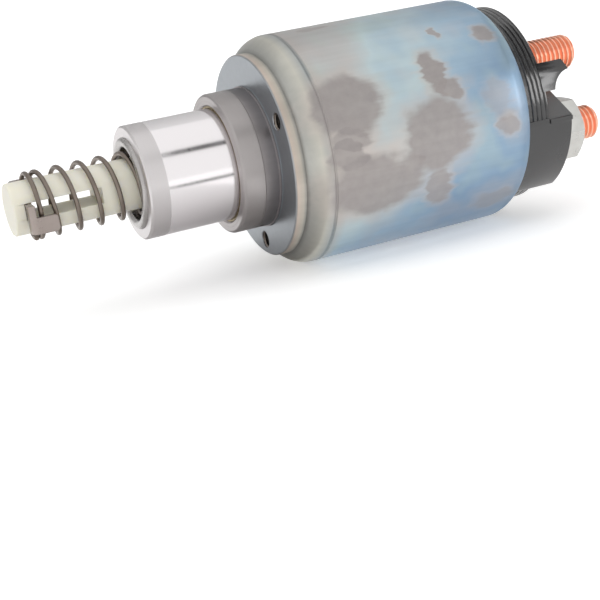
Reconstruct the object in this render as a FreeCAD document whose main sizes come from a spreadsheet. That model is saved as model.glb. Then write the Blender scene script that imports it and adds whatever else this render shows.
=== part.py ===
import FreeCAD, Part
import math
import os
import Sketcher

# Starter solenoid, in millimetres. X runs along the plunger, +X towards the terminals.
# The origin is the centre of the mounting flange's front face, and +Z is up.
# Angles are degrees about X, from +Y towards +Z.

Vector = FreeCAD.Vector
doc = FreeCAD.newDocument("starter_solenoid")
sheet = doc.addObject("Spreadsheet::Sheet", "Sizes")
aliases = []
subparts = []


# Sizes, and the formulas made from them

class Size:
    """A length or angle: its number, and the formula that ties it to the sheet of sizes."""

    def __init__(self, number, formula):
        self.number = number
        self.formula = formula

    def __add__(self, other):
        other = as_size(other)
        return Size(self.number + other.number, f"({self.formula} + {other.formula})")

    def __sub__(self, other):
        other = as_size(other)
        return Size(self.number - other.number, f"({self.formula} - {other.formula})")

    def __mul__(self, other):
        other = as_size(other)
        return Size(self.number * other.number, f"({self.formula} * {other.formula})")

    def __truediv__(self, other):
        other = as_size(other)
        return Size(self.number / other.number, f"({self.formula} / {other.formula})")

    def __neg__(self):
        return Size(-self.number, f"(0 - {self.formula})")


def as_size(value):
    return value if isinstance(value, Size) else Size(value, str(value))


def size(alias, number, note):
    """Writes one driving dimension into the next row of the sheet and gives it back."""
    aliases.append(alias)
    row = len(aliases)
    sheet.set(f"A{row}", note)
    sheet.set(f"B{row}", str(number))
    sheet.setAlias(f"B{row}", alias)
    sheet.recompute()
    return Size(float(sheet.get(alias)), f"Sizes.{alias}")


def polar(radius, angle):
    """The Y and Z of a point at this radius and angle about X."""
    turn = math.radians(angle.number)
    across = Size(radius.number * math.cos(turn), f"({radius.formula} * cos({angle.formula}))")
    up = Size(radius.number * math.sin(turn), f"({radius.formula} * sin({angle.formula}))")
    return across, up


def root_of_difference(long_side, short_side):
    """The third side of a right-angled triangle."""
    number = math.sqrt(long_side.number ** 2 - short_side.number ** 2)
    return Size(number, f"sqrt({long_side.formula} ^ 2 - {short_side.formula} ^ 2)")


zero = as_size(0.0)
one = as_size(1.0)
third_turn = as_size(120.0)
full_turn = as_size(360.0)


# Sketches and features

def new_body(label):
    body = doc.addObject("PartDesign::Body", label)
    body.Label = label
    subparts.append(body)
    return body


def new_sketch(body, plane, offset=None, turn=None):
    """A sketch on one of the body's own planes, moved along the plane's normal and turned in it."""
    sketch = body.newObject("Sketcher::SketchObject", f"{body.Name}_sketch")
    origin_planes = [feature for feature in body.Origin.OriginFeatures if feature.Role == plane]
    sketch.AttachmentSupport = [(origin_planes[0], "")]
    sketch.MapMode = "FlatFace"
    if turn is not None:
        spin = FreeCAD.Rotation(Vector(0, 0, 1), turn.number)
        sketch.AttachmentOffset = FreeCAD.Placement(Vector(), spin)
        sketch.setExpression("AttachmentOffset.Rotation.Angle", turn.formula)
    if offset is not None:
        sketch.setExpression("AttachmentOffset.Base.z", offset.formula)
    return sketch


def tie(sketch, kind, geometry, place, value):
    """Holds one coordinate of a point of the sketch to a formula."""
    if abs(value.number) < 1e-9:
        axis = -2 if kind == "DistanceX" else -1
        sketch.addConstraint(Sketcher.Constraint("PointOnObject", geometry, place, axis))
        return
    row = sketch.addConstraint(Sketcher.Constraint(kind, -1, 1, geometry, place, value.number))
    sketch.setExpression(f"Constraints[{row}]", value.formula)


def arc_centre(start, end, centre_x=None, centre_y=None):
    """The centre that lies as far from both ends, where one of its coordinates is known."""
    x0, y0 = start
    x1, y1 = end
    if centre_x is not None:
        rise = (x1 - centre_x) ** 2 - (x0 - centre_x) ** 2 + y1 ** 2 - y0 ** 2
        return centre_x, rise / (2 * (y1 - y0))
    run = (y1 - centre_y) ** 2 - (y0 - centre_y) ** 2 + x1 ** 2 - x0 ** 2
    return run / (2 * (x1 - x0)), centre_y


def loop(sketch, points):
    """A closed outline. A point may name centre_x or centre_y: then an arc leads to it from the last."""
    ends = []
    for index, point in enumerate(points):
        before = points[index - 1]
        start = (before[0].number, before[1].number)
        end = (point[0].number, point[1].number)
        if len(point) == 2:
            line = Part.LineSegment(Vector(*start, 0), Vector(*end, 0))
            ends.append((sketch.addGeometry(line, False), 1, 2))
            continue
        known, value = point[2]
        centre = Vector(*arc_centre(start, end, **{known: value.number}), 0)
        circle = Part.Circle(centre, Vector(0, 0, 1), math.hypot(start[0] - centre.x, start[1] - centre.y))
        first = math.atan2(start[1] - centre.y, start[0] - centre.x)
        last = math.atan2(end[1] - centre.y, end[0] - centre.x)
        forward = (last - first) % (2 * math.pi) < math.pi
        arc = Part.ArcOfCircle(circle, first, last) if forward else Part.ArcOfCircle(circle, last, first)
        ends.append((sketch.addGeometry(arc, False), 1, 2) if forward else (sketch.addGeometry(arc, False), 2, 1))
    for index, point in enumerate(points):
        geometry, start, end = ends[index]
        following, next_start, _ = ends[(index + 1) % len(points)]
        sketch.addConstraint(Sketcher.Constraint("Coincident", geometry, end, following, next_start))
        tie(sketch, "DistanceX", geometry, end, point[0])
        tie(sketch, "DistanceY", geometry, end, point[1])
        if len(point) == 3:
            known, value = point[2]
            tie(sketch, "DistanceX" if known == "centre_x" else "DistanceY", geometry, 3, value)


def round_hole(sketch, across, up, radius):
    """A circle of a sketch."""
    centre = Vector(across.number, up.number, 0)
    circle = sketch.addGeometry(Part.Circle(centre, Vector(0, 0, 1), radius.number), False)
    tie(sketch, "DistanceX", circle, 3, across)
    tie(sketch, "DistanceY", circle, 3, up)
    row = sketch.addConstraint(Sketcher.Constraint("Radius", circle, radius.number))
    sketch.setExpression(f"Constraints[{row}]", radius.formula)


def rectangle(sketch, low_x, low_y, high_x, high_y):
    loop(sketch, [(low_x, low_y), (high_x, low_y), (high_x, high_y), (low_x, high_y)])


def turn_up(body, points):
    """Adds what a half section makes when it turns about X. Its points are (X, radius)."""
    sketch = new_sketch(body, "XY_Plane")
    loop(sketch, points)
    revolution = body.newObject("PartDesign::Revolution", f"{body.Name}_turned")
    revolution.Profile = sketch
    revolution.ReferenceAxis = (sketch, ["H_Axis"])
    revolution.Angle = 360
    doc.recompute()


def turned(label, points):
    """A piece turned about X from its half section."""
    body = new_body(label)
    turn_up(body, points)
    return body


def ring(label, front, rear, inner, outer):
    """A plain turned ring or tube."""
    return turned(label, [(front, inner), (front, outer), (rear, outer), (rear, inner)])


def pad(body, sketch, length):
    """Adds the sketch's outline along its plane's normal."""
    feature = body.newObject("PartDesign::Pad", f"{body.Name}_pad")
    feature.Profile = sketch
    feature.setExpression("Length", length.formula)
    doc.recompute()
    return feature


def must_cut(body, before, name):
    if body.Shape.Volume > before - 1e-6:
        raise ValueError(f"{name} of {body.Label} cuts nothing")


def pocket(body, sketch, length=None, forward=False):
    """Cuts the sketch's outline, through everything where no length is given."""
    before = body.Shape.Volume
    feature = body.newObject("PartDesign::Pocket", f"{body.Name}_pocket")
    feature.Profile = sketch
    if length is None:
        feature.Type = "ThroughAll"
        feature.Midplane = True
    else:
        feature.setExpression("Length", length.formula)
        feature.Reversed = forward
    doc.recompute()
    must_cut(body, before, feature.Name)
    return feature


def groove(body, sketch, axis="H_Axis"):
    """Cuts the sketch's outline turned about an axis."""
    before = body.Shape.Volume
    feature = body.newObject("PartDesign::Groove", f"{body.Name}_groove")
    feature.Profile = sketch
    feature.ReferenceAxis = (sketch, [axis])
    feature.Angle = 360
    doc.recompute()
    must_cut(body, before, feature.Name)
    return feature


def spread_round(body, features, count):
    """Repeats features evenly about X."""
    pattern = body.newObject("PartDesign::PolarPattern", f"{body.Name}_round")
    pattern.Originals = features
    x_axis = [feature for feature in body.Origin.OriginFeatures if feature.Role == "X_Axis"]
    pattern.Axis = (x_axis[0], [""])
    pattern.Angle = 360
    pattern.setExpression("Occurrences", count.formula)
    body.Tip = pattern
    doc.recompute()
    return pattern


def dress(body, kind, amount, points):
    """Rounds or bevels the edges that pass through these points."""
    names = []
    for point in points:
        spot = Part.Vertex(Vector(*[value.number for value in point]))
        near = [f"Edge{number}" for number, edge in enumerate(body.Shape.Edges, 1)
                if edge.distToShape(spot)[0] < 1e-4]
        if not near:
            raise ValueError(f"{body.Label} has no edge at {spot.Point}")
        names += [name for name in near if name not in names]
    feature = body.newObject(f"PartDesign::{kind}", f"{body.Name}_{kind.lower()}")
    feature.Base = (body.Tip if body.Tip != feature else feature.BaseFeature, names)
    feature.setExpression("Radius" if kind == "Fillet" else "Size", amount.formula)
    doc.recompute()
    return feature


def turn_body(body, angle):
    """Turns a whole body about X."""
    body.Placement = FreeCAD.Placement(Vector(), FreeCAD.Rotation(Vector(1, 0, 0), angle.number))
    body.setExpression("Placement.Rotation.Angle", angle.formula)


def place(body, across, up):
    """Sets a body that is made about its own X axis beside the solenoid's axis."""
    body.setExpression("Placement.Base.y", across.formula)
    body.setExpression("Placement.Base.z", up.formula)


def coil_spring(label, mean_radius, wire, front, rear, turns, start_angle, flats, steps, front_closed=one):
    """A compression spring with closed ends: wire sections set along the helix and joined. front_closed
    is how many turns lie closed at the front end. One does at the rear."""
    closed = wire.number + spring_gap.number
    first = front_closed.number
    run = rear.number - front.number - wire.number - (first + 1) * closed
    sections = []
    count = round(turns.number * steps)
    for index in range(count + 1):
        turn = turns.number * index / count
        along = front.number + wire.number / 2
        if turn < first:
            along += closed * turn
        elif turn > turns.number - 1:
            along += (first + 1) * closed + run - closed * (turns.number - turn)
        else:
            along += first * closed + run * (turn - first) / (turns.number - first - 1)
        angle = math.radians(start_angle.number) + 2 * math.pi * turn
        corners = []
        for corner in range(flats):
            lean = 2 * math.pi * (corner + 0.5) / flats
            radius = mean_radius.number + wire.number / 2 * math.cos(lean)
            x = along + wire.number / 2 * math.sin(lean)
            corners.append(Vector(x, radius * math.cos(angle), radius * math.sin(angle)))
        sections.append(Part.makePolygon(corners + corners[:1]))
    spring = doc.addObject("Part::Feature", label)
    spring.Label = label
    spring.Shape = Part.makeLoft(sections, True, True)
    subparts.append(spring)
    return spring


# Clearances that several pieces share
seat_gap = size("seat_gap", 0.05, "radial gap where one fixed piece sits in another")
slide_gap = size("slide_gap", 0.07, "radial running gap of the plunger and the contact rod")
stop_gap = size("stop_gap", 0.3, "gap left where a moving piece comes to rest against another")
spring_gap = size("spring_gap", 0.05, "gap between the closed turns of a spring, and at its ends")


# Housing
# One cold-extruded steel pot: the spigot that locates in the drive housing, the bolting flange,
# the thick front pole and the case, whose rear edge is rolled in over the terminal cap.
flange_front = zero
plunger_radius = size("plunger_radius", 15.75, "outside radius of the plunger")
sleeve_wall = size("sleeve_wall", 0.5, "wall of the brass guide sleeve")
spigot_wall = size("spigot_wall", 3.23, "wall of the locating spigot round the sleeve")
spigot_length = size("spigot_length", 4.7, "length of the spigot on the housing")
root_step = size("root_step", 0.35, "height of the narrow step at the spigot's root")
root_length = size("root_length", 0.7, "length of that step")
coil_depth = size("coil_depth", 12.63, "depth between the sleeve and the case, which the coil fills")
case_wall = size("case_wall", 3.5, "wall of the case round the coil")
shoulder_height = size("shoulder_height", 4.0, "height of the rounded shoulder over the flange")
flange_depth = size("flange_depth", 3.1, "straight side of the flange")
flange_bevel = size("flange_bevel", 0.35, "bevel of the flange's front edge")
shoulder_end = size("shoulder_end", 9.5, "where the rounded shoulder reaches the case")
plate_step = size("plate_step", 0.5, "how much wider the bore is behind the coil")
pole_rear = size("pole_rear", 11.0, "rear face of the front pole")
plate_front = size("plate_front", 57.3, "step in the bore that the core plate seats on")
lip_front = size("lip_front", 69.0, "inner face of the rolled lip")
roll_start = size("roll_start", 67.4, "where the case starts to curve in")
case_rear = size("case_rear", 72.0, "rear edge of the rolled lip")
lip_drop = size("lip_drop", 2.3, "how far the case curves in to its rear edge")
lip_gap = size("lip_gap", 0.1, "gap between the rolled lip and the cap")
cap_step = size("cap_step", 0.2, "how much smaller than the bore the cap is behind the lip")
bolt_hole = size("bolt_hole", 2.1, "radius of a tapped fixing hole at the crests of its thread")
bolt_depth = size("bolt_depth", 8.0, "depth of a fixing hole to its drill point")
bolt_point = size("bolt_point", 1.25, "length of the drill point")
bolt_count = size("bolt_count", 3, "number of fixing holes")

sleeve_inner = plunger_radius + slide_gap
sleeve_outer = sleeve_inner + sleeve_wall
sleeve_seat = sleeve_outer + seat_gap
spigot_radius = sleeve_seat + spigot_wall
root_radius = spigot_radius + root_step
case_bore = sleeve_seat + coil_depth
plate_bore = case_bore + plate_step
case_radius = case_bore + case_wall
flange_radius = case_radius - shoulder_height
bolt_circle = (root_radius + flange_radius) / 2
cap_radius = case_bore - cap_step
lip_bore = cap_radius + lip_gap
lip_radius = case_radius - lip_drop
housing = turned("housing", [
    (-spigot_length, sleeve_seat),
    (-spigot_length, spigot_radius),
    (-root_length, spigot_radius),
    (-root_length, root_radius),
    (flange_front, root_radius),
    (flange_front, flange_radius - flange_bevel),
    (flange_bevel, flange_radius),
    (flange_depth, flange_radius),
    (shoulder_end, case_radius, ("centre_x", shoulder_end)),
    (roll_start, case_radius),
    (case_rear, lip_radius, ("centre_x", roll_start)),
    (case_rear, lip_bore),
    (lip_front, lip_bore),
    (lip_front, plate_bore),
    (plate_front, plate_bore),
    (plate_front, case_bore),
    (pole_rear, case_bore),
    (pole_rear, sleeve_seat),
])
hole_sketch = new_sketch(housing, "XZ_Plane")
hole_axis = Part.LineSegment(Vector(0, -bolt_circle.number, 0), Vector(1, -bolt_circle.number, 0))
axis_row = hole_sketch.addGeometry(hole_axis, True)
tie(hole_sketch, "DistanceX", axis_row, 1, zero)
tie(hole_sketch, "DistanceY", axis_row, 1, -bolt_circle)
tie(hole_sketch, "DistanceX", axis_row, 2, bolt_depth)
tie(hole_sketch, "DistanceY", axis_row, 2, -bolt_circle)
loop(hole_sketch, [
    (flange_front, -bolt_circle),
    (flange_front, -bolt_circle - bolt_hole),
    (bolt_depth, -bolt_circle - bolt_hole),
    (bolt_depth + bolt_point, -bolt_circle),
])
fixing_hole = groove(housing, hole_sketch, "Axis0")
spread_round(housing, [fixing_hole], bolt_count)


# Guide ring and sleeve
# A turned ring closes the spigot, and the thin brass sleeve runs through it, the pole and the coil.
ring_length = size("ring_length", 6.4, "length of the guide ring")
ring_bevel = size("ring_bevel", 0.8, "rounding of the guide ring's front edge")
ring_mouth = size("ring_mouth", 0.35, "bevel inside the guide ring's mouth")
sleeve_inset = size("sleeve_inset", 0.4, "how far the sleeve ends inside the ring's mouth")
sleeve_end = size("sleeve_end", 46.0, "rear end of the sleeve, over the core")

ring_front = -spigot_length - ring_length
guide_ring = turned("guide_ring", [
    (ring_front, sleeve_seat + ring_mouth),
    (ring_front, spigot_radius - ring_bevel),
    (ring_front + ring_bevel, spigot_radius, ("centre_x", ring_front + ring_bevel)),
    (-spigot_length, spigot_radius),
    (-spigot_length, sleeve_seat),
    (ring_front + ring_mouth, sleeve_seat),
])
ring("guide_sleeve", ring_front + sleeve_inset, sleeve_end, sleeve_inner, sleeve_outer)


# Coil
# A moulded bobbin on the sleeve carries the thick pull-in winding, the thin hold-in winding over it,
# and a wrap of insulating tape.
bobbin_gap = size("bobbin_gap", 0.1, "end gap of the bobbin")
bobbin_wall = size("bobbin_wall", 1.1, "wall of the bobbin's hub")
bobbin_flange = size("bobbin_flange", 1.5, "thickness of the bobbin's end flanges")
bobbin_room = size("bobbin_room", 0.3, "gap between the bobbin's flanges and the case")
pull_in_depth = size("pull_in_depth", 5.6, "depth of the pull-in winding")
coil_room = size("coil_room", 1.28, "gap between the tape and the case")
wrap_depth = size("wrap_depth", 0.6, "thickness of the tape over the windings")

bobbin_front = pole_rear + bobbin_gap
bobbin_rear = plate_front - bobbin_gap
bobbin_radius = case_bore - bobbin_room
hub_outer = sleeve_seat + bobbin_wall
turned("coil_bobbin", [
    (bobbin_front, sleeve_seat),
    (bobbin_front, bobbin_radius),
    (bobbin_front + bobbin_flange, bobbin_radius),
    (bobbin_front + bobbin_flange, hub_outer),
    (bobbin_rear - bobbin_flange, hub_outer),
    (bobbin_rear - bobbin_flange, bobbin_radius),
    (bobbin_rear, bobbin_radius),
    (bobbin_rear, sleeve_seat),
])
winding_front = bobbin_front + bobbin_flange + seat_gap
winding_rear = bobbin_rear - bobbin_flange - seat_gap
pull_in_inner = hub_outer + seat_gap
pull_in_outer = pull_in_inner + pull_in_depth
hold_in_inner = pull_in_outer + seat_gap
wrap_inner = case_bore - coil_room - wrap_depth
hold_in_outer = wrap_inner - seat_gap
ring("pull_in_winding", winding_front, winding_rear, pull_in_inner, pull_in_outer)
ring("hold_in_winding", winding_front, winding_rear, hold_in_inner, hold_in_outer)
ring("coil_wrap", winding_front, winding_rear, wrap_inner, wrap_inner + wrap_depth)


# Fixed core and core plate
# The core's nose stands in the sleeve and stops the plunger. Its tenon is riveted in the plate.
plunger_tail = size("plunger_tail", 22.0, "rear face of the plunger at rest")
plunger_stroke = size("plunger_stroke", 12.0, "how far the plunger is drawn in")
core_tenon = size("core_tenon", 12.0, "radius of the core's tenon")
plate_thickness = size("plate_thickness", 5.0, "thickness of the core plate")
return_wire = size("return_wire", 1.3, "wire of the return spring")
return_mean = size("return_mean", 6.8, "mean radius of the return spring")
pocket_room = size("pocket_room", 1.15, "gap round the return spring in its pocket in the core")
pocket_floor = size("pocket_floor", 46.0, "floor of that pocket")
rod_radius = size("rod_radius", 2.5, "radius of the contact rod")
collar_pocket = size("collar_pocket", 5.6, "radius of the rear pocket for the contact rod's collar")
collar_depth = size("collar_depth", 4.0, "depth of that pocket")
core_bevel = size("core_bevel", 0.8, "bevel of the core's nose")
lead_hole = size("lead_hole", 2.0, "radius of a lead hole in the core plate")
lead_inset = size("lead_inset", 7.7, "distance of the lead holes from the plate's edge")
lead_count = size("lead_count", 4, "number of lead holes")

spring_pocket = return_mean + return_wire / 2 + pocket_room
lead_circle = plate_bore - lead_inset
core_face = plunger_tail + plunger_stroke + stop_gap
plate_rear = plate_front + plate_thickness
rod_hole = rod_radius + slide_gap
collar_floor = plate_rear - collar_depth
turned("fixed_core", [
    (core_face, spring_pocket),
    (core_face, plunger_radius - core_bevel),
    (core_face + core_bevel, plunger_radius),
    (plate_front, plunger_radius),
    (plate_front, core_tenon),
    (plate_rear, core_tenon),
    (plate_rear, collar_pocket),
    (collar_floor, collar_pocket),
    (collar_floor, rod_hole),
    (pocket_floor, rod_hole),
    (pocket_floor, spring_pocket),
])
core_plate = ring("core_plate", plate_front, plate_rear, core_tenon + seat_gap, plate_bore - seat_gap)
lead_sketch = new_sketch(core_plate, "YZ_Plane", plate_front)
round_hole(lead_sketch, lead_circle, zero, lead_hole)
lead_pocket = pocket(core_plate, lead_sketch, plate_thickness, forward=True)
spread_round(core_plate, [lead_pocket], lead_count)


# Terminal cap and its gasket
# Moulded in black phenolic: a skirt held by the rolled lip, four fine grooves round it, a high block
# under the motor terminal, a sharp horn that keeps the two cable lugs apart and a central boss.
gasket_thickness = size("gasket_thickness", 1.0, "thickness of the cap's gasket")
gasket_width = size("gasket_width", 3.2, "width of the cap's gasket")
cap_rear = size("cap_rear", 79.6, "rear face of the cap")
cap_edge = size("cap_edge", 0.5, "bevel of the cap's rear edge")
cavity_wall = size("cavity_wall", 3.3, "wall of the cap round the contact chamber")
cavity_floor = size("cavity_floor", 76.5, "floor of the contact chamber")
cap_groove_first = size("cap_groove_first", 73.9, "place of the first groove round the cap")
cap_groove_step = size("cap_groove_step", 1.5, "distance from groove to groove")
cap_groove_width = size("cap_groove_width", 0.5, "width of a groove")
cap_groove_depth = size("cap_groove_depth", 0.35, "depth of a groove")
cap_groove_count = size("cap_groove_count", 4, "number of grooves")
stud_radius = size("stud_radius", 5.0, "radius of a terminal stud, M10")
stud_inset = size("stud_inset", 8.55, "distance of the studs from the contact chamber's wall")
battery_angle = size("battery_angle", 130.0, "direction of the battery stud")
motor_angle = size("motor_angle", 210.0, "direction of the motor stud")
block_rise = size("block_rise", 0.2, "how far the motor terminal's block stands out of the cap's side")
block_half = size("block_half", 12.85, "half the width of that block")
block_rear = size("block_rear", 87.0, "rear face of that block, which the nut bears on")
block_bevel = size("block_bevel", 0.4, "bevel of the block's rear edges")
boss_radius = size("boss_radius", 7.6, "radius of the seat round the battery stud")
boss_rear = size("boss_rear", 81.2, "rear face of that seat")
seat_stock = size("seat_stock", 0.3, "what the cutter takes off that seat and the block beside it")
lug_radius = size("lug_radius", 8.2, "radius kept free round the battery stud for its cable lug")
hub_radius = size("hub_radius", 8.5, "radius of the central boss")
hub_rear = size("hub_rear", 84.5, "rear face of the central boss")
hub_pocket = size("hub_pocket", 5.5, "radius of the contact return spring's pocket")
hub_floor = size("hub_floor", 82.5, "floor of that pocket")
seal_width = size("seal_width", 1.6, "width of the seal under a stud's head")
seal_thickness = size("seal_thickness", 1.0, "thickness of that seal")
horn_offset = size("horn_offset", 4.45, "how far beyond the studs' circle the horn's inner edge lies")
horn_ridge = size("horn_ridge", 5.9, "offset of the horn's ridge from that line")
horn_tip = size("horn_tip", 88.4, "rear tip of the horn")
horn_high_side = size("horn_high_side", 10.8, "offset of the horn's side by the battery stud")
horn_high_rear = size("horn_high_rear", 86.3, "rear corner of that side")
horn_low_side = size("horn_low_side", 0.6, "how far the horn's other side passes the line")
horn_low_rear = size("horn_low_rear", 82.5, "rear corner of the other side")
horn_margin = size("horn_margin", 9.0, "how far the cut that shapes the horn runs past it")
rib_angle = size("rib_angle", 185.4, "direction of the small rib beside the block's edge")
rib_width = size("rib_width", 1.2, "width of that rib")
rib_height = size("rib_height", 0.5, "height of that rib")
control_angle = size("control_angle", 350.0, "direction of the control terminal")
control_inset = size("control_inset", 5.5, "distance of the control terminal from the chamber's wall")
blade_width = size("blade_width", 6.3, "width of the control blade")
blade_thickness = size("blade_thickness", 0.8, "thickness of the control blade")
saddle_margin = size("saddle_margin", 2.0, "how far the blade's saddle reaches past the blade")
saddle_rear = size("saddle_rear", 81.5, "rear face of the saddle round the blade")
cavity_radius = cap_radius - cavity_wall
stud_circle = cavity_radius - stud_inset
block_radius = cap_radius + block_rise
horn_apex = stud_circle + horn_offset
control_circle = cavity_radius - control_inset

gasket_rear = plate_rear + gasket_thickness
between_angle = (battery_angle + motor_angle) / 2
ring("cap_gasket", plate_rear, gasket_rear, plate_bore - gasket_width, plate_bore - seat_gap)
terminal_cap = turned("terminal_cap", [
    (gasket_rear, zero),
    (gasket_rear, plate_bore - seat_gap),
    (lip_front - seat_gap, plate_bore - seat_gap),
    (lip_front - seat_gap, cap_radius),
    (cap_rear - cap_edge, cap_radius),
    (cap_rear, cap_radius - cap_edge),
    (cap_rear, zero),
])
groove_sketch = new_sketch(terminal_cap, "XY_Plane")
loop(groove_sketch, [
    (cap_groove_first, cap_radius + cap_groove_depth),
    (cap_groove_first + cap_groove_width, cap_radius + cap_groove_depth),
    (cap_groove_first + cap_groove_width, cap_radius),
    (cap_groove_first + cap_groove_width / 2, cap_radius - cap_groove_depth),
    (cap_groove_first, cap_radius),
])
fine_groove = groove(terminal_cap, groove_sketch)
grooves = terminal_cap.newObject("PartDesign::LinearPattern", "cap_grooves")
grooves.Originals = [fine_groove]
cap_axis = [feature for feature in terminal_cap.Origin.OriginFeatures if feature.Role == "X_Axis"]
grooves.Direction = (cap_axis[0], [""])
grooves.setExpression("Occurrences", cap_groove_count.formula)
grooves.setExpression("Length", (cap_groove_step * (cap_groove_count - 1)).formula)
terminal_cap.Tip = grooves
doc.recompute()

# The horn starts as a wedge between two planes, one beside each cable lug, and runs out past the skirt.
horn_reach = cap_radius + rib_height * 4
horn_start = cap_rear - cap_edge * 2
horn_wedge = new_sketch(terminal_cap, "YZ_Plane", horn_start, between_angle)
loop(horn_wedge, [
    (horn_apex, -horn_ridge),
    (horn_reach, -horn_high_side),
    (horn_reach, horn_low_side),
])
pad(terminal_cap, horn_wedge, horn_tip - horn_start)
horn_cut = new_sketch(terminal_cap, "XY_Plane")
horn_cut.AttachmentOffset = FreeCAD.Placement(
    Vector(), FreeCAD.Rotation(Vector(1, 0, 0), between_angle.number - 90))
horn_cut.setExpression("AttachmentOffset.Rotation.Angle", (between_angle - 90).formula)
horn_beyond = horn_tip + horn_margin
loop(horn_cut, [
    (horn_low_rear, -horn_low_side),
    (horn_tip, horn_ridge, ("centre_y", -horn_low_side)),
    (horn_high_rear, horn_high_side),
    (horn_high_rear, horn_high_side + horn_margin),
    (horn_beyond, horn_high_side + horn_margin),
    (horn_beyond, -horn_low_side),
])
pocket(terminal_cap, horn_cut)
horn_trim = new_sketch(terminal_cap, "XY_Plane")
rectangle(horn_trim, horn_start, cap_radius, horn_beyond, horn_reach * 2)
groove(terminal_cap, horn_trim)

# The motor block stands flush with the skirt, and the battery stud has a low round seat.
hub_boss = new_sketch(terminal_cap, "YZ_Plane", cavity_floor)
round_hole(hub_boss, zero, zero, hub_radius)
pad(terminal_cap, hub_boss, hub_rear - cavity_floor)
block_front = case_rear + stop_gap
block_run = root_of_difference(block_radius, block_half)
block_sketch = new_sketch(terminal_cap, "YZ_Plane", block_front, motor_angle)
loop(block_sketch, [
    (hub_radius, -block_half),
    (block_run, -block_half),
    (block_run, block_half, ("centre_x", zero)),
    (hub_radius, block_half),
])
pad(terminal_cap, block_sketch, block_rear - block_front)
boss_sketch = new_sketch(terminal_cap, "YZ_Plane", cavity_floor, battery_angle)
round_hole(boss_sketch, stud_circle, zero, boss_radius)
pad(terminal_cap, boss_sketch, boss_rear + seat_stock - cavity_floor)
rib_sketch = new_sketch(terminal_cap, "YZ_Plane", cap_rear, rib_angle)
rectangle(rib_sketch, cap_radius - rib_height, -rib_width / 2, block_radius + rib_height, rib_width / 2)
pad(terminal_cap, rib_sketch, block_rear - cap_rear)
saddle_sketch = new_sketch(terminal_cap, "YZ_Plane", cavity_floor, control_angle)
saddle_half = blade_width / 2 + saddle_margin
saddle_depth = blade_thickness / 2 + saddle_margin
rectangle(saddle_sketch, control_circle - saddle_depth, -saddle_half, control_circle + saddle_depth, saddle_half)
pad(terminal_cap, saddle_sketch, saddle_rear - cavity_floor)

# Contact chamber, spring pocket, stud holes, seal recesses and the blade's slot are cored out last.
# The battery stud's seat is faced, which also frees its cable lug from the block.
cavity_sketch = new_sketch(terminal_cap, "YZ_Plane", gasket_rear)
round_hole(cavity_sketch, zero, zero, cavity_radius)
pocket(terminal_cap, cavity_sketch, cavity_floor - gasket_rear, forward=True)
hub_sketch = new_sketch(terminal_cap, "YZ_Plane", cavity_floor)
round_hole(hub_sketch, zero, zero, hub_pocket)
pocket(terminal_cap, hub_sketch, hub_floor - cavity_floor, forward=True)
lug_sketch = new_sketch(terminal_cap, "YZ_Plane", boss_rear, battery_angle)
round_hole(lug_sketch, stud_circle, zero, lug_radius)
pocket(terminal_cap, lug_sketch, block_rear - boss_rear, forward=True)
for angle in (battery_angle, motor_angle):
    recess_sketch = new_sketch(terminal_cap, "YZ_Plane", cavity_floor, angle)
    round_hole(recess_sketch, stud_circle, zero, stud_radius + seal_width + seat_gap * 2)
    pocket(terminal_cap, recess_sketch, seal_thickness, forward=True)
    stud_sketch = new_sketch(terminal_cap, "YZ_Plane", cavity_floor, angle)
    round_hole(stud_sketch, stud_circle, zero, stud_radius + seat_gap)
    pocket(terminal_cap, stud_sketch, block_rear - cavity_floor, forward=True)
slot_sketch = new_sketch(terminal_cap, "YZ_Plane", cavity_floor, control_angle)
slot_half = blade_width / 2 + seat_gap
slot_depth = blade_thickness / 2 + seat_gap
rectangle(slot_sketch, control_circle - slot_depth, -slot_half, control_circle + slot_depth, slot_half)
pocket(terminal_cap, slot_sketch, saddle_rear - cavity_floor, forward=True)


# Terminal studs, seals, retaining ring and nut
# Copper studs with square heads in the chamber. The bridge closes on their heads.
head_front = size("head_front", 73.0, "contact face of the studs' heads")
head_share = size("head_share", 0.413, "half the width of a stud's square head, as a share of the studs' circle")
battery_end = size("battery_end", 99.2, "rear end of the battery stud")
motor_end = size("motor_end", 103.1, "rear end of the motor stud")
stud_bevel = size("stud_bevel", 1.1, "bevel of a stud's end")
keeper_radius = size("keeper_radius", 7.2, "radius of the battery stud's push-on ring")
keeper_thickness = size("keeper_thickness", 0.8, "thickness of that ring")
keeper_neck = size("keeper_neck", 4.6, "radius of the stud's neck that the ring snaps into")
thread_radius = size("thread_radius", 4.55, "radius of the stud in the nut, between crests and roots")
nut_flats = size("nut_flats", 17.0, "width of the motor terminal's nut across its flats")
nut_height = size("nut_height", 8.0, "height of that nut")
nut_bevel = size("nut_bevel", 1.0, "bevel of the nut's corners, along its axis")

head_half = stud_circle * head_share


def terminal_stud(label, angle, neck_front, neck_rear, neck_radius, end):
    """A stud with a square head that the bridge touches, made about X and set in its place."""
    body = new_body(label)
    head = new_sketch(body, "YZ_Plane", head_front)
    rectangle(head, -head_half, -head_half, head_half, head_half)
    pad(body, head, cavity_floor - head_front)
    turn_up(body, [
        (cavity_floor, zero),
        (cavity_floor, stud_radius),
        (neck_front, stud_radius),
        (neck_front, neck_radius),
        (neck_rear, neck_radius),
        (neck_rear, stud_radius),
        (end - stud_bevel, stud_radius),
        (end, stud_radius - stud_bevel),
        (end, zero),
    ])
    turn_body(body, angle)
    place(body, *polar(stud_circle, angle))
    return body


terminal_stud("battery_stud", battery_angle, boss_rear - keeper_thickness, boss_rear + keeper_thickness,
              keeper_neck, battery_end)
terminal_stud("motor_stud", motor_angle, block_rear, block_rear + nut_height, thread_radius, motor_end)


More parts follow.
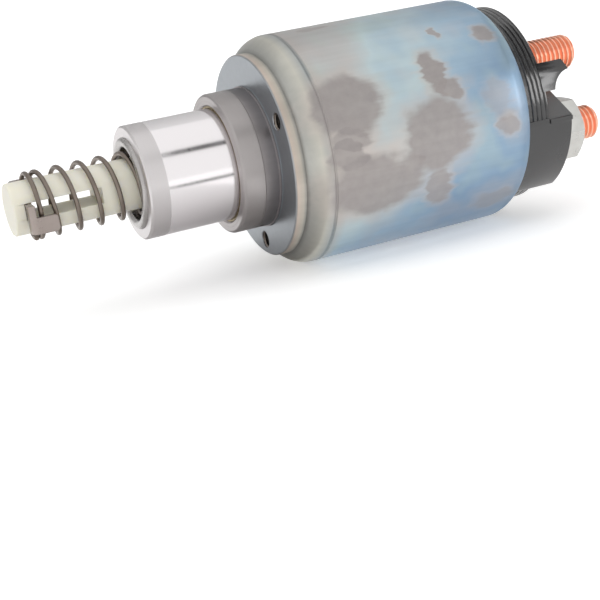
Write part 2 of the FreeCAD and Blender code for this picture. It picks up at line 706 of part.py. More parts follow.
def ring_on_stud(label, angle, front, rear, inner, outer):
    body = ring(label, front, rear, inner, outer)
    across, up = polar(stud_circle, angle)
    place(body, across, up)
    return body


seal_inner = stud_radius + seat_gap
ring_on_stud("battery_seal", battery_angle, cavity_floor, cavity_floor + seal_thickness,
             seal_inner, seal_inner + seal_width)
ring_on_stud("motor_seal", motor_angle, cavity_floor, cavity_floor + seal_thickness,
             seal_inner, seal_inner + seal_width)
ring_on_stud("battery_keeper", battery_angle, boss_rear, boss_rear + keeper_thickness,
             keeper_neck + seat_gap, keeper_radius)

motor_nut = new_body("motor_nut")
corner = nut_flats / 2 / Size(math.cos(math.radians(30)), "cos(30)")
nut_sketch = new_sketch(motor_nut, "YZ_Plane", block_rear)
loop(nut_sketch, [polar(corner, as_size(60.0 * index)) for index in range(6)])
round_hole(nut_sketch, zero, zero, thread_radius + seat_gap)
pad(motor_nut, nut_sketch, nut_height)
nut_slope = (corner - nut_flats / 2) * 2
for face, inward in ((block_rear, 1), (block_rear + nut_height, -1)):
    bevel_sketch = new_sketch(motor_nut, "XY_Plane")
    loop(bevel_sketch, [
        (face - nut_bevel * inward, corner + nut_slope),
        (face + nut_bevel * inward, corner + nut_slope),
        (face + nut_bevel * inward, corner),
        (face, corner - nut_slope),
        (face - nut_bevel * inward, corner - nut_slope),
    ])
    groove(motor_nut, bevel_sketch)
place(motor_nut, *polar(stud_circle, motor_angle))


# Control terminal
# A push-on blade in its saddle, on the side away from the studs.
blade_rear = size("blade_rear", 91.5, "rear end of the control blade")
blade_foot = size("blade_foot", 74.5, "inner end of the control blade")
blade_shoulder = size("blade_shoulder", 1.4, "how far the blade's shoulders stand out, and how long they are")
blade_bevel = size("blade_bevel", 1.2, "bevel of the blade's tip")
blade_hole = size("blade_hole", 0.9, "radius of the latch hole in the blade")

control_terminal = new_body("control_terminal")
blade_half = blade_width / 2
wide_half = blade_half + blade_shoulder
blade_sketch = new_sketch(control_terminal, "XY_Plane", -blade_thickness / 2)
loop(blade_sketch, [
    (blade_foot, -blade_half),
    (saddle_rear, -blade_half),
    (saddle_rear, -wide_half),
    (saddle_rear + blade_shoulder, -wide_half),
    (saddle_rear + blade_shoulder, -blade_half),
    (blade_rear - blade_bevel, -blade_half),
    (blade_rear, blade_bevel - blade_half),
    (blade_rear, blade_half - blade_bevel),
    (blade_rear - blade_bevel, blade_half),
    (saddle_rear + blade_shoulder, blade_half),
    (saddle_rear + blade_shoulder, wide_half),
    (saddle_rear, wide_half),
    (saddle_rear, blade_half),
    (blade_foot, blade_half),
])
round_hole(blade_sketch, blade_rear - blade_width / 2, zero, blade_hole)
pad(control_terminal, blade_sketch, blade_thickness)
turn_body(control_terminal, control_angle - 90)
place(control_terminal, *polar(control_circle, control_angle))


# Plunger and the spring cup in its mouth
# The solid steel plunger is bored from the front. A pressed cup with a rolled lip is swaged in and
# holds the pull rod's head, and the engagement spring stands on its floor.
plunger_front = size("plunger_front", -36.0, "front face of the plunger at rest")
plunger_bevel = size("plunger_bevel", 0.5, "bevel of the plunger's front edge")
tail_bevel = size("tail_bevel", 1.0, "bevel of the plunger's tail")
pull_rod_radius = size("pull_rod_radius", 7.1, "radius of the pull rod")
engagement_wire = size("engagement_wire", 1.3, "wire of the engagement spring")
engagement_room = size("engagement_room", 0.85, "gap between the pull rod and the engagement spring")
cup_room = size("cup_room", 0.75, "gap between the engagement spring and the cup")
cup_wall = size("cup_wall", 1.0, "thickness of the cup's sheet")
cup_lip = size("cup_lip", 1.1, "how far the cup's rolled lip stands out of the plunger")
lip_width = size("lip_width", 2.7, "width of the rolled lip")
cup_floor = size("cup_floor", -23.0, "inner face of the cup's floor")
head_step = size("head_step", 2.5, "how far the pull rod's head stands out of the rod")
head_length = size("head_length", 3.2, "length of the pull rod's head")
rod_clearance = size("rod_clearance", 0.1, "gap round the pull rod where it passes the cup and the clip")

engagement_mean = pull_rod_radius + engagement_room + engagement_wire / 2
head_radius = pull_rod_radius + head_step
cup_bore = engagement_mean + engagement_wire / 2 + cup_room
cup_rim = cup_bore + lip_width
cup_outer = cup_bore + cup_wall
cup_back = cup_floor + cup_wall
head_rear = cup_back + head_length
turned("plunger", [
    (plunger_front, cup_outer + seat_gap),
    (plunger_front, plunger_radius - plunger_bevel),
    (plunger_front + plunger_bevel, plunger_radius),
    (plunger_tail - tail_bevel, plunger_radius),
    (plunger_tail, plunger_radius - tail_bevel),
    (plunger_tail, zero),
    (head_rear + seat_gap, zero),
    (head_rear + seat_gap, head_radius + seat_gap),
    (cup_back, head_radius + seat_gap),
    (cup_back, cup_outer + seat_gap),
])
lip_front_face = plunger_front - cup_lip
lip_middle = (cup_bore + cup_rim) / 2
turned("spring_cup", [
    (cup_back, pull_rod_radius + rod_clearance),
    (cup_back, cup_outer),
    (plunger_front, cup_outer),
    (plunger_front, cup_rim),
    (lip_front_face, lip_middle, ("centre_y", lip_middle)),
    (plunger_front, cup_bore, ("centre_y", lip_middle)),
    (cup_floor, cup_bore),
    (cup_floor, pull_rod_radius + rod_clearance),
])


# Pull rod
# Moulded in natural nylon. The shift lever's tip works in the long slot.
rod_cap = size("rod_cap", 3.0, "length of the pull rod beyond the slot")
rod_round = size("rod_round", 0.6, "rounding of the pull rod's end")
slot_front = size("slot_front", -67.0, "outer end of the slot")
slot_rear = size("slot_rear", -46.2, "inner end of the slot")
slot_height = size("slot_height", 4.3, "height of the slot")
rod_front = slot_front - rod_cap

pull_rod = turned("pull_rod", [
    (rod_front, zero),
    (rod_front, pull_rod_radius - rod_round),
    (rod_front + rod_round, pull_rod_radius, ("centre_x", rod_front + rod_round)),
    (cup_back, pull_rod_radius),
    (cup_back, head_radius),
    (head_rear, head_radius),
    (head_rear, zero),
])
lever_sketch = new_sketch(pull_rod, "XZ_Plane")
rectangle(lever_sketch, slot_front, -slot_height / 2, slot_rear, slot_height / 2)
pocket(pull_rod, lever_sketch)


# Spring clip
# One bent steel strip through the slot. Each end widens, clears the rod and turns back along it, so
# the lever pushes the clip and the clip pushes the spring.
clip_sheet = size("clip_sheet", 1.7, "thickness of the clip's sheet")
clip_room = size("clip_room", 0.3, "gap between the pull rod and the clip's wide ends")
leg_room = size("leg_room", 0.35, "gap between the engagement spring and the clip's legs")
leg_length = size("leg_length", 5.55, "length of the clip's legs behind its sheet")
leg_near = size("leg_near", 1.2, "edge of a leg nearer the middle")
leg_far = size("leg_far", 5.6, "outer edge of a leg")
bend_outer = size("bend_outer", 1.5, "outside radius of the clip's bends")
clip_corner = size("clip_corner", 1.0, "rounding of the legs' corners")

clip_front = slot_front + spring_gap
clip_back = clip_front + clip_sheet
clip_inner = pull_rod_radius + clip_room
leg_inner = engagement_mean + engagement_wire / 2 + leg_room
leg_end = clip_back + leg_length
clip_half = slot_height / 2 - rod_clearance
leg_outer = leg_inner + clip_sheet
spring_clip = new_body("spring_clip")
web_sketch = new_sketch(spring_clip, "YZ_Plane", clip_front)
loop(web_sketch, [
    (clip_inner, clip_half),
    (clip_inner, leg_far),
    (leg_outer, leg_far),
    (leg_outer, -clip_half),
    (-clip_inner, -clip_half),
    (-clip_inner, -leg_far),
    (-leg_outer, -leg_far),
    (-leg_outer, clip_half),
])
pad(spring_clip, web_sketch, clip_sheet)
legs_sketch = new_sketch(spring_clip, "YZ_Plane", clip_back)
rectangle(legs_sketch, leg_inner, leg_near, leg_outer, leg_far)
rectangle(legs_sketch, -leg_outer, -leg_far, -leg_inner, -leg_near)
pad(spring_clip, legs_sketch, leg_end - clip_back)
leg_middle = (leg_inner + leg_outer) / 2
clip_middle = (clip_front + clip_back) / 2
dress(spring_clip, "Fillet", bend_outer, [
    (clip_front, leg_outer, zero),
    (clip_front, -leg_outer, zero),
])
dress(spring_clip, "Fillet", clip_corner, [
    (leg_end, leg_middle, leg_near),
    (leg_end, leg_middle, leg_far),
    (leg_end, -leg_middle, -leg_near),
    (leg_end, -leg_middle, -leg_far),
])


# Springs
# The engagement spring stands on the cup's floor and pushes the clip out. The return spring pushes
# the plunger off the core.
engagement_turns = size("engagement_turns", 8.66, "turns of the engagement spring")
engagement_closed = size("engagement_closed", 1.25, "closed turns at its outer end")
engagement_start = size("engagement_start", 257.5, "direction of its outer end")
return_turns = size("return_turns", 6.0, "turns of the return spring")

coil_spring("engagement_spring", engagement_mean, engagement_wire, clip_back + spring_gap,
            cup_floor - spring_gap, engagement_turns, engagement_start, 8, 16, engagement_closed)
coil_spring("return_spring", return_mean, return_wire, plunger_tail + spring_gap,
            pocket_floor - spring_gap, return_turns, zero, 6, 12)


# Contact rod, its bridge and springs
# The plunger's tail pushes the rod over the last part of its stroke. A copper disc, insulated from
# the rod by a moulded bush, bridges the heads of the two studs.
contact_lag = size("contact_lag", 9.3, "gap between the plunger's tail and the contact rod at rest")
collar_radius = size("collar_radius", 4.9, "radius of the contact rod's collar")
collar_length = size("collar_length", 1.0, "length of that collar")
rod_tip = size("rod_tip", 74.2, "rear end of the contact rod")
rod_bevel = size("rod_bevel", 0.4, "bevel of the contact rod's ends")
bridge_front = size("bridge_front", 67.7, "front face of the contact bridge")
bridge_thickness = size("bridge_thickness", 2.0, "thickness of the contact bridge")
bridge_reach = size("bridge_reach", 4.05, "how far the contact bridge reaches beyond the studs' circle")
bush_radius = size("bush_radius", 5.5, "radius of the bush's flange")
bush_flange = size("bush_flange", 1.2, "thickness of the bush's flange")
bush_wall = size("bush_wall", 1.1, "wall of the bush inside the bridge")
washer_thickness = size("washer_thickness", 1.0, "thickness of the insulating washer")
clip_groove = size("clip_groove", 0.5, "depth of the circlip's groove in the contact rod")
clip_thickness = size("clip_thickness", 0.8, "thickness of the circlip")
circlip_radius = size("circlip_radius", 4.1, "outside radius of the circlip")
circlip_gap = size("circlip_gap", 2.4, "width of the circlip's mouth")
pressure_wire = size("pressure_wire", 0.8, "wire of the contact pressure spring")
pressure_mean = size("pressure_mean", 4.2, "mean radius of the contact pressure spring")
pressure_turns = size("pressure_turns", 4.5, "turns of the contact pressure spring")
contact_wire = size("contact_wire", 0.7, "wire of the contact return spring")
contact_mean = size("contact_mean", 4.7, "mean radius of the contact return spring")
contact_turns = size("contact_turns", 5.5, "turns of the contact return spring")

bridge_radius = stud_circle + bridge_reach
rod_nose = plunger_tail + contact_lag
collar_front = collar_floor + stop_gap
collar_back = collar_front + collar_length
bridge_back = bridge_front + bridge_thickness
washer_back = bridge_back + washer_thickness
groove_back = washer_back + clip_thickness + seat_gap
turned("contact_rod", [
    (rod_nose, zero),
    (rod_nose, rod_radius - rod_bevel),
    (rod_nose + rod_bevel, rod_radius),
    (collar_front, rod_radius),
    (collar_front, collar_radius),
    (collar_back, collar_radius),
    (collar_back, rod_radius),
    (washer_back, rod_radius),
    (washer_back, rod_radius - clip_groove),
    (groove_back, rod_radius - clip_groove),
    (groove_back, rod_radius),
    (rod_tip - rod_bevel, rod_radius),
    (rod_tip, rod_radius - rod_bevel),
    (rod_tip, zero),
])
bush_bore = rod_radius + seat_gap
turned("contact_bush", [
    (bridge_front - bush_flange, bush_bore),
    (bridge_front - bush_flange, bush_radius),
    (bridge_front, bush_radius),
    (bridge_front, bush_bore + bush_wall),
    (bridge_back, bush_bore + bush_wall),
    (bridge_back, bush_bore),
])
ring("contact_bridge", bridge_front, bridge_back, bush_bore + bush_wall + seat_gap, bridge_radius)
ring("contact_washer", bridge_back, washer_back, bush_bore, bush_radius)
circlip = ring("contact_circlip", washer_back, washer_back + clip_thickness,
               rod_radius - clip_groove + seat_gap, circlip_radius)
mouth_sketch = new_sketch(circlip, "YZ_Plane", washer_back)
rectangle(mouth_sketch, zero, -circlip_gap / 2, circlip_radius * 2, circlip_gap / 2)
pocket(circlip, mouth_sketch, clip_thickness, forward=True)
coil_spring("pressure_spring", pressure_mean, pressure_wire, collar_back + spring_gap,
            bridge_front - bush_flange - spring_gap, pressure_turns, zero, 6, 12)
coil_spring("contact_return_spring", contact_mean, contact_wire, washer_back + spring_gap,
            hub_floor - spring_gap, contact_turns, zero, 6, 12)


# Check, then write one file for each sub-part
doc.recompute()
for item in doc.Objects:
    if "Invalid" in item.State or "Error" in item.State:
        raise ValueError(f"{item.Label} failed: {item.State}")
os.makedirs("parts", exist_ok=True)
for subpart in subparts:
    if subpart.Shape.isNull() or not subpart.Shape.isValid() or not subpart.Shape.Solids:
        raise ValueError(f"{subpart.Label} has no sound solid")
for subpart in subparts:
    subpart.Shape.exportStep(f"parts/{subpart.Label}.step")
print(len(subparts), "sub-parts written")
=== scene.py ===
import math

import bmesh
import bpy
import numpy as np
from mathutils import Matrix, Vector


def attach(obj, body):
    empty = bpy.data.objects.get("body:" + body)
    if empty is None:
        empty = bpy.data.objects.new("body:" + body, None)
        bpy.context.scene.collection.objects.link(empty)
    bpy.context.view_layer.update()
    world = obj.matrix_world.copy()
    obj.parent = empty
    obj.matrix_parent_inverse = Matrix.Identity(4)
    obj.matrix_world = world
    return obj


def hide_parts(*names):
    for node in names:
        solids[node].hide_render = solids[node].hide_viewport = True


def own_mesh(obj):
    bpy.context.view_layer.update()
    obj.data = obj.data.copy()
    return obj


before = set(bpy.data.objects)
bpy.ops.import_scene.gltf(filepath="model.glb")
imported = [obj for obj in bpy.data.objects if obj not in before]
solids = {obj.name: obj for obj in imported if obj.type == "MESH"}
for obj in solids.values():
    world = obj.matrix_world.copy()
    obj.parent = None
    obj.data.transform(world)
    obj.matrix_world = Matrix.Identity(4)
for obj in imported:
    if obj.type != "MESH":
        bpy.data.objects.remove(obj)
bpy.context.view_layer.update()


# Case
# One cold-drawn steel pot with its bolting flange and the root of the collar, zinc plated and blue
# passivated. The film is thin enough to show colours, and acid has left dull grey-brown blotches.
# Three M5 holes are tapped into the flange.

# corners (x, radius, rounding) in millimetres, over the collar, flange, shoulder and lip and back through the inside
CASE_PROFILE = [
    (-4.7, 16.37, 0), (-4.7, 19.6, 0.12), (-0.7, 19.6, 0.08), (-0.7, 19.95, 0.1), (0.0, 19.95, 0.05),
    (0.0, 28.15, 0.1), (0.35, 28.5, 0.15), (3.1, 28.5, 0.12), "shoulder", "lip", (72.0, 28.9, 0.12),
    (69.0, 28.9, 0), (69.0, 29.5, 0), (57.3, 29.5, 0), (57.3, 29.0, 0), (11.0, 29.0, 0.3), (11.0, 16.37, 0)]
CASE_RADIUS = 32.5
GROOVE = [(9.7, 32.48, 0), (9.85, 32.36, 0), (10.0, 32.28, 0), (10.2, 32.28, 0), (10.35, 32.36, 0),
          (10.5, CASE_RADIUS, 0)]
BOLT_CIRCLE = 24.225
BOLT_ANGLES = (30, 150, 270)
BOLT_ROOT, BOLT_DEPTH, BOLT_PITCH = 2.5, 0.4, 0.8


def colour(code):
    """An sRGB hex value as linear red, green, blue and alpha: below 0.04045 a straight line, above it a power."""
    parts = [int(code[i:i + 2], 16) / 255 for i in (1, 3, 5)]
    return (*[c / 12.92 if c <= 0.04045 else ((c + 0.055) / 1.055) ** 2.4 for c in parts], 1.0)


def add(tree, kind, sockets=None, **settings):
    """Adds one node, with its settings, its values and its links."""
    node = tree.nodes.new(kind)
    for key, value in settings.items():
        setattr(node, key, value)
    for key, value in (sockets or {}).items():
        if isinstance(value, bpy.types.NodeSocket):
            tree.links.new(value, node.inputs[key])
        else:
            node.inputs[key].default_value = value
    return node


def finish_named(name):
    """A new material with its tree, its shader and the piece's own coordinates in metres."""
    material = bpy.data.materials.new(name)
    material.use_nodes = True
    tree = material.node_tree
    place = add(tree, "ShaderNodeTexCoord").outputs["Object"]
    return material, tree, tree.nodes["Principled BSDF"], place


def set_ramp(node, stops):
    """Gives a colour ramp its stops: place along it and hex colour."""
    ramp = node.color_ramp
    while len(ramp.elements) < len(stops):
        ramp.elements.new(1.0)
    for element, (at, code) in zip(ramp.elements, stops):
        element.position, element.color = at, colour(code)


def rounded(corners):
    """A closed profile whose corners (x, radius, rounding) are arcs that touch both sides, with a point beside
    each end of an arc."""
    path = []
    for i, (x, r, rounding) in enumerate(corners):
        here = np.array((x, r), float)
        if rounding == 0:
            path.append(here[None])
            continue
        sides = [np.array(corners[k % len(corners)][:2], float) - here for k in (i - 1, i + 1)]
        spans = [np.linalg.norm(side) for side in sides]
        back, ahead = sides[0] / spans[0], sides[1] / spans[1]
        half = 0.5 * math.acos(np.clip(back @ ahead, -1, 1))
        reach = min(rounding / math.tan(half), 0.35 * min(spans))
        radius = reach * math.tan(half)
        centre = here + (back + ahead) / np.linalg.norm(back + ahead) * radius / math.sin(half)
        start, end = here + back * reach - centre, here + ahead * reach - centre
        first = math.atan2(start[1], start[0])
        sweep = (math.atan2(end[1], end[0]) - first + math.pi) % (2 * math.pi) - math.pi
        turn = first + sweep * np.linspace(0, 1, 6)
        arc = centre + radius * np.stack((np.cos(turn), np.sin(turn)), -1)
        path += [(here + back * reach * 1.3)[None], arc, (here + ahead * reach * 1.3)[None]]
    return np.concatenate(path)


def arc_of_profile(start, end, centre_x):
    """Points of an arc of a profile whose centre lies at centre_x, as far from the start as from the end."""
    (x0, y0), (x1, y1) = start, end
    centre_y = ((x1 - centre_x) ** 2 - (x0 - centre_x) ** 2 + y1 ** 2 - y0 ** 2) / (2 * (y1 - y0))
    radius = math.hypot(x1 - centre_x, y1 - centre_y)
    turn = np.linspace(math.atan2(y0 - centre_y, x0 - centre_x), math.atan2(y1 - centre_y, x1 - centre_x), 25)
    return [(centre_x + radius * c, centre_y + radius * s, 0) for c, s in zip(np.cos(turn), np.sin(turn))]


def surface(name, points, closed_rows, parts=()):
    """A mesh from a grid of points in millimetres, whose columns run round and close. parts are more grids of the
    same piece, each with whether its rows close too."""
    verts, faces, offset = [], [], 0
    for grid, loop in [(points, closed_rows), *parts]:
        rows, columns = grid.shape[:2]
        row = np.arange(rows if loop else rows - 1)[:, None]
        column = np.arange(columns)[None]
        ahead, beside = (row + 1) % rows, (column + 1) % columns
        quads = np.stack(np.broadcast_arrays(
            row * columns + column, row * columns + beside, ahead * columns + beside, ahead * columns + column), -1)
        verts.append(grid.reshape(-1, 3) / 1000)
        faces.append(quads.reshape(-1, 4) + offset)
        offset += rows * columns
    mesh = bpy.data.meshes.new(name)
    mesh.from_pydata(np.concatenate(verts).tolist(), [], np.concatenate(faces).tolist())
    return settle(name, mesh)


def settle(name, mesh, sharp=32):
    """Merges doubles, turns the faces outwards, shades them smooth between sharp edges and makes the object."""
    whole = bmesh.new()
    whole.from_mesh(mesh)
    bmesh.ops.remove_doubles(whole, verts=whole.verts, dist=2e-6)
    bmesh.ops.dissolve_degenerate(whole, edges=whole.edges, dist=1e-6)
    bmesh.ops.recalc_face_normals(whole, faces=whole.faces)
    whole.to_mesh(mesh)
    whole.free()
    mesh.shade_smooth()
    mesh.set_sharp_from_angle(angle=math.radians(sharp))
    piece = bpy.data.objects.new(name, mesh)
    bpy.context.scene.collection.objects.link(piece)
    return piece


def turned(profile, around=192):
    """Turns a profile about X: the point (x, r) goes to (x, r cos a, r sin a) as a runs once round."""
    angle = np.linspace(0, 2 * math.pi, around, endpoint=False)
    x = np.repeat(profile[:, :1], around, 1)
    return np.stack((x, profile[:, 1:] * np.cos(angle), profile[:, 1:] * np.sin(angle)), -1)


def thread_height(x, angle, pitch):
    """Height of a right-hand thread from root 0 to crest 1: a wave with smooth flanks in x / pitch - a / (2 pi),
    which counts the turns at the place (x, a)."""
    across = np.abs(2 * np.mod(x / pitch - angle / (2 * math.pi), 1) - 1)
    ramp = np.clip((across - 0.12) / 0.7, 0, 1)
    return ramp * ramp * (3 - 2 * ramp)


def dress(piece, material, body, slot, *nodes):
    """Gives a piece its material and its body, and hides the solids that it stands for. slot, the finish's name, is
    not used.
    """
    piece.data.materials.clear()
    piece.data.materials.append(material)
    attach(piece, body)
    if nodes:
        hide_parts(*nodes)
    return piece


def zinc_film():
    """Zinc plate, 8 micron, with a clear blue passivate: satin metal, pale grey by the flange and bluer towards
    the terminals, darker and bluer towards the underside as painted shade, yellowish and pink on the bends with
    painted highlight bands and painted shade in the groove, and dull grey-brown where it was etched."""
    material, tree, shader, place = finish_named("blue passivated zinc")
    place_mm = add(tree, "ShaderNodeVectorMath", {0: place, "Scale": 1000.0}, operation="SCALE").outputs[0]
    along, across, up = add(tree, "ShaderNodeSeparateXYZ", {0: place_mm}).outputs

    # the case unrolled: millimetres along it, and round it from its front line
    front = add(tree, "ShaderNodeMath", {0: across, 1: -1.0}, operation="MULTIPLY").outputs[0]
    turn = add(tree, "ShaderNodeMath", {0: up, 1: front}, operation="ARCTAN2").outputs[0]
    arc = add(tree, "ShaderNodeMath", {0: turn, 1: CASE_RADIUS}, operation="MULTIPLY").outputs[0]
    unrolled = add(tree, "ShaderNodeCombineXYZ", {0: along, 1: arc}).outputs[0]
    cloud = add(tree, "ShaderNodeTexNoise", {"Vector": place_mm, "Scale": 0.05, "Detail": 3.0}).outputs[0]
    wisp = add(tree, "ShaderNodeTexNoise", {"Vector": place_mm, "Scale": 0.075, "Detail": 2.0}).outputs[0]
    drawn = add(tree, "ShaderNodeVectorMath", {0: place_mm, 1: (0.025, 0.5, 0.5)}, operation="MULTIPLY").outputs[0]
    streak = add(tree, "ShaderNodeTexNoise", {"Vector": drawn, "Scale": 1.0, "Detail": 3.0}).outputs[0]

    # the film is bluer towards the terminals, and the underside is painted darker and bluer: painted shade
    rear = add(tree, "ShaderNodeMapRange", {0: along, 1: 10.0, 2: 66.0, 3: 0.05, 4: 0.92}).outputs[0]
    low = add(tree, "ShaderNodeMapRange", {0: up, 1: 0.0, 2: -28.0, 3: 0.0, 4: 0.5}).outputs[0]
    sway = add(tree, "ShaderNodeMapRange", {0: cloud, 1: 0.35, 2: 0.65, 3: -0.14, 4: 0.14}).outputs[0]
    blue = add(tree, "ShaderNodeMath", {0: rear, 1: low}, operation="ADD").outputs[0]
    blue = add(tree, "ShaderNodeMath", {0: blue, 1: sway}, operation="ADD", use_clamp=True).outputs[0]
    film = add(tree, "ShaderNodeValToRGB", {0: blue})
    set_ramp(film, [(0.0, "#b5b3b1"), (0.2, "#b8bab9"), (0.42, "#b8c8cc"), (0.7, "#9cb3c4"), (1.0, "#879fb6")])
    film = film.outputs[0]
    pink = add(tree, "ShaderNodeMapRange", {0: wisp, 1: 0.5, 2: 0.66, 3: 0.0, 4: 0.22}).outputs[0]
    film = add(tree, "ShaderNodeMix", {0: pink, 6: film, 7: colour("#c0b4ae")}, data_type="RGBA").outputs[2]
    green = add(tree, "ShaderNodeMapRange", {0: wisp, 1: 0.46, 2: 0.34, 3: 0.0, 4: 0.22}).outputs[0]
    film = add(tree, "ShaderNodeMix", {0: green, 6: film, 7: colour("#b3c3b6")}, data_type="RGBA").outputs[2]

    # the turned end, from -5 to 15 mm: bare-looking spigot, grey flange face, straw and pink film on the edge under a
    # painted highlight, a painted dark dip where the shoulder starts, a painted highlight band across the grey
    # shoulder, and painted shade in the groove
    bend = add(tree, "ShaderNodeMapRange", {0: along, 1: -5.0, 2: 15.0}).outputs[0]
    turned_end_highlights_and_shade = add(tree, "ShaderNodeValToRGB", {0: bend})
    set_ramp(turned_end_highlights_and_shade, [
        (0.0, "#8f8a8a"), (0.235, "#8d8889"), (0.245, "#959a9f"), (0.255, "#979b9f"), (0.275, "#c4b6aa"),
        (0.36, "#b8b2a7"), (0.405, "#8e8e8a"), (0.44, "#aaaaa5"), (0.6, "#c1bfb5"), (0.71, "#aaacaa"),
        (0.735, "#828788"), (0.765, "#888a8a"), (0.79, "#b6b0ab")])
    reach = add(tree, "ShaderNodeMapRange", {0: along, 1: 9.0, 2: 13.5, 3: 0.0, 4: 1.0}).outputs[0]
    film = add(tree, "ShaderNodeMix", {0: reach, 6: turned_end_highlights_and_shade.outputs[0], 7: film}, data_type="RGBA").outputs[2]

    # the blotches: ellipses on the unrolled case, whose edges a wide noise, a fine one and the drawn streaks tear
    wide = add(tree, "ShaderNodeTexNoise", {"Vector": place_mm, "Scale": 0.16, "Detail": 2.0}).outputs[1]
    fine = add(tree, "ShaderNodeTexNoise", {"Vector": place_mm, "Scale": 0.8, "Detail": 4.0}).outputs[1]
    wide = add(tree, "ShaderNodeVectorMath", {0: wide, 1: (-0.5, -0.5, 0.0)}, operation="ADD").outputs[0]
    wide = add(tree, "ShaderNodeVectorMath", {0: wide, 1: (5.5, 5.5, 0.0)}, operation="MULTIPLY").outputs[0]
    fine = add(tree, "ShaderNodeVectorMath", {0: fine, 1: (-0.5, -0.5, 0.0)}, operation="ADD").outputs[0]
    fine = add(tree, "ShaderNodeVectorMath", {0: fine, 1: (1.1, 0.8, 0.0)}, operation="MULTIPLY").outputs[0]
    pulled = add(tree, "ShaderNodeMapRange", {0: streak, 1: 0.3, 2: 0.7, 3: -1.0, 4: 1.0}).outputs[0]
    pulled = add(tree, "ShaderNodeCombineXYZ", {0: pulled}).outputs[0]
    torn = add(tree, "ShaderNodeVectorMath", {0: unrolled, 1: wide}, operation="ADD").outputs[0]
    torn = add(tree, "ShaderNodeVectorMath", {0: torn, 1: pulled}, operation="ADD").outputs[0]
    torn = add(tree, "ShaderNodeVectorMath", {0: torn, 1: fine}, operation="ADD").outputs[0]
    covered = {}
    for spot, half, depth in BLOTCHES:
        away = add(tree, "ShaderNodeVectorMath", {0: torn, 1: (*spot, 0.0)}, operation="SUBTRACT").outputs[0]
        away = add(tree, "ShaderNodeVectorMath", {0: away, 1: (1 / half[0], 1 / half[1], 0.0)},
                   operation="MULTIPLY").outputs[0]
        far = add(tree, "ShaderNodeVectorMath", {0: away}, operation="LENGTH").outputs["Value"]
        for key, edge in (("etched", (1.18, 0.8)), ("rim", (1.6, 1.0))):
            near = add(tree, "ShaderNodeMapRange", {0: far, 1: edge[0], 2: edge[1], 3: 0.0, 4: depth},
                       interpolation_type="SMOOTHSTEP").outputs[0]
            if key in covered:
                near = add(tree, "ShaderNodeMath", {0: covered[key], 1: near}, operation="ADD",
                           use_clamp=True).outputs[0]
            covered[key] = near
    mottle = add(tree, "ShaderNodeTexNoise", {"Vector": place_mm, "Scale": 0.35, "Detail": 4.0}).outputs[0]
    rim = add(tree, "ShaderNodeMath", {0: covered["rim"], 1: 0.5}, operation="MULTIPLY").outputs[0]
    film = add(tree, "ShaderNodeMix", {0: rim, 6: film, 7: colour("#c3b8b1")}, data_type="RGBA").outputs[2]
    etched = add(tree, "ShaderNodeMix", {0: mottle, 6: colour("#938d8c"), 7: colour("#a8a29f")},
                 data_type="RGBA").outputs[2]
    film = add(tree, "ShaderNodeMix", {0: covered["etched"], 6: film, 7: etched}, data_type="RGBA").outputs[2]
    shade = add(tree, "ShaderNodeMapRange", {0: streak, 1: 0.3, 2: 0.7, 3: 0.965, 4: 1.03}).outputs[0]
    film = add(tree, "ShaderNodeVectorMath", {0: film, "Scale": shade}, operation="SCALE").outputs[0]

    # the threads of the three holes are painted near-black, more so further in: painted shade in the holes
    for angle in BOLT_ANGLES:
        middle = (0.0, BOLT_CIRCLE * math.cos(math.radians(angle)), BOLT_CIRCLE * math.sin(math.radians(angle)))
        away = add(tree, "ShaderNodeVectorMath", {0: place_mm, 1: middle}, operation="SUBTRACT").outputs[0]
        away = add(tree, "ShaderNodeVectorMath", {0: away, 1: (0.0, 1.0, 1.0)}, operation="MULTIPLY").outputs[0]
        away = add(tree, "ShaderNodeVectorMath", {0: away}, operation="LENGTH").outputs["Value"]
        inside = add(tree, "ShaderNodeMath", {0: away, 1: BOLT_ROOT + 0.06}, operation="LESS_THAN").outputs[0]
        deep = add(tree, "ShaderNodeMapRange", {0: along, 1: 0.1, 2: 1.0, 3: 0.0, 4: 0.9}).outputs[0]
        hole_shade = add(tree, "ShaderNodeMath", {0: inside, 1: deep}, operation="MULTIPLY").outputs[0]
        film = add(tree, "ShaderNodeMix", {0: hole_shade, 6: film, 7: colour("#35312f")}, data_type="RGBA").outputs[2]

    # drawn steel shows a grain of about 0.4 mm under the plate, and the etched places and the rolled lip are duller
    grain = add(tree, "ShaderNodeTexNoise", {"Vector": place_mm, "Scale": 2.5, "Detail": 3.0}).outputs[0]
    rough = add(tree, "ShaderNodeMapRange", {0: covered["etched"], 3: 0.33, 4: 0.45}).outputs[0]
    rolled = add(tree, "ShaderNodeMapRange", {0: along, 1: 66.5, 2: 69.0, 3: 0.3, 4: 0.62}).outputs[0]
    rough = add(tree, "ShaderNodeMath", {0: rough, 1: rolled}, operation="MAXIMUM").outputs[0]
    bump = add(tree, "ShaderNodeBump", {"Strength": 0.1, "Distance": 0.00004, "Height": grain}).outputs[0]
    tree.links.new(film, shader.inputs["Base Color"])
    tree.links.new(rough, shader.inputs["Roughness"])
    tree.links.new(bump, shader.inputs["Normal"])
    shader.inputs["Metallic"].default_value = 0.85
    return material


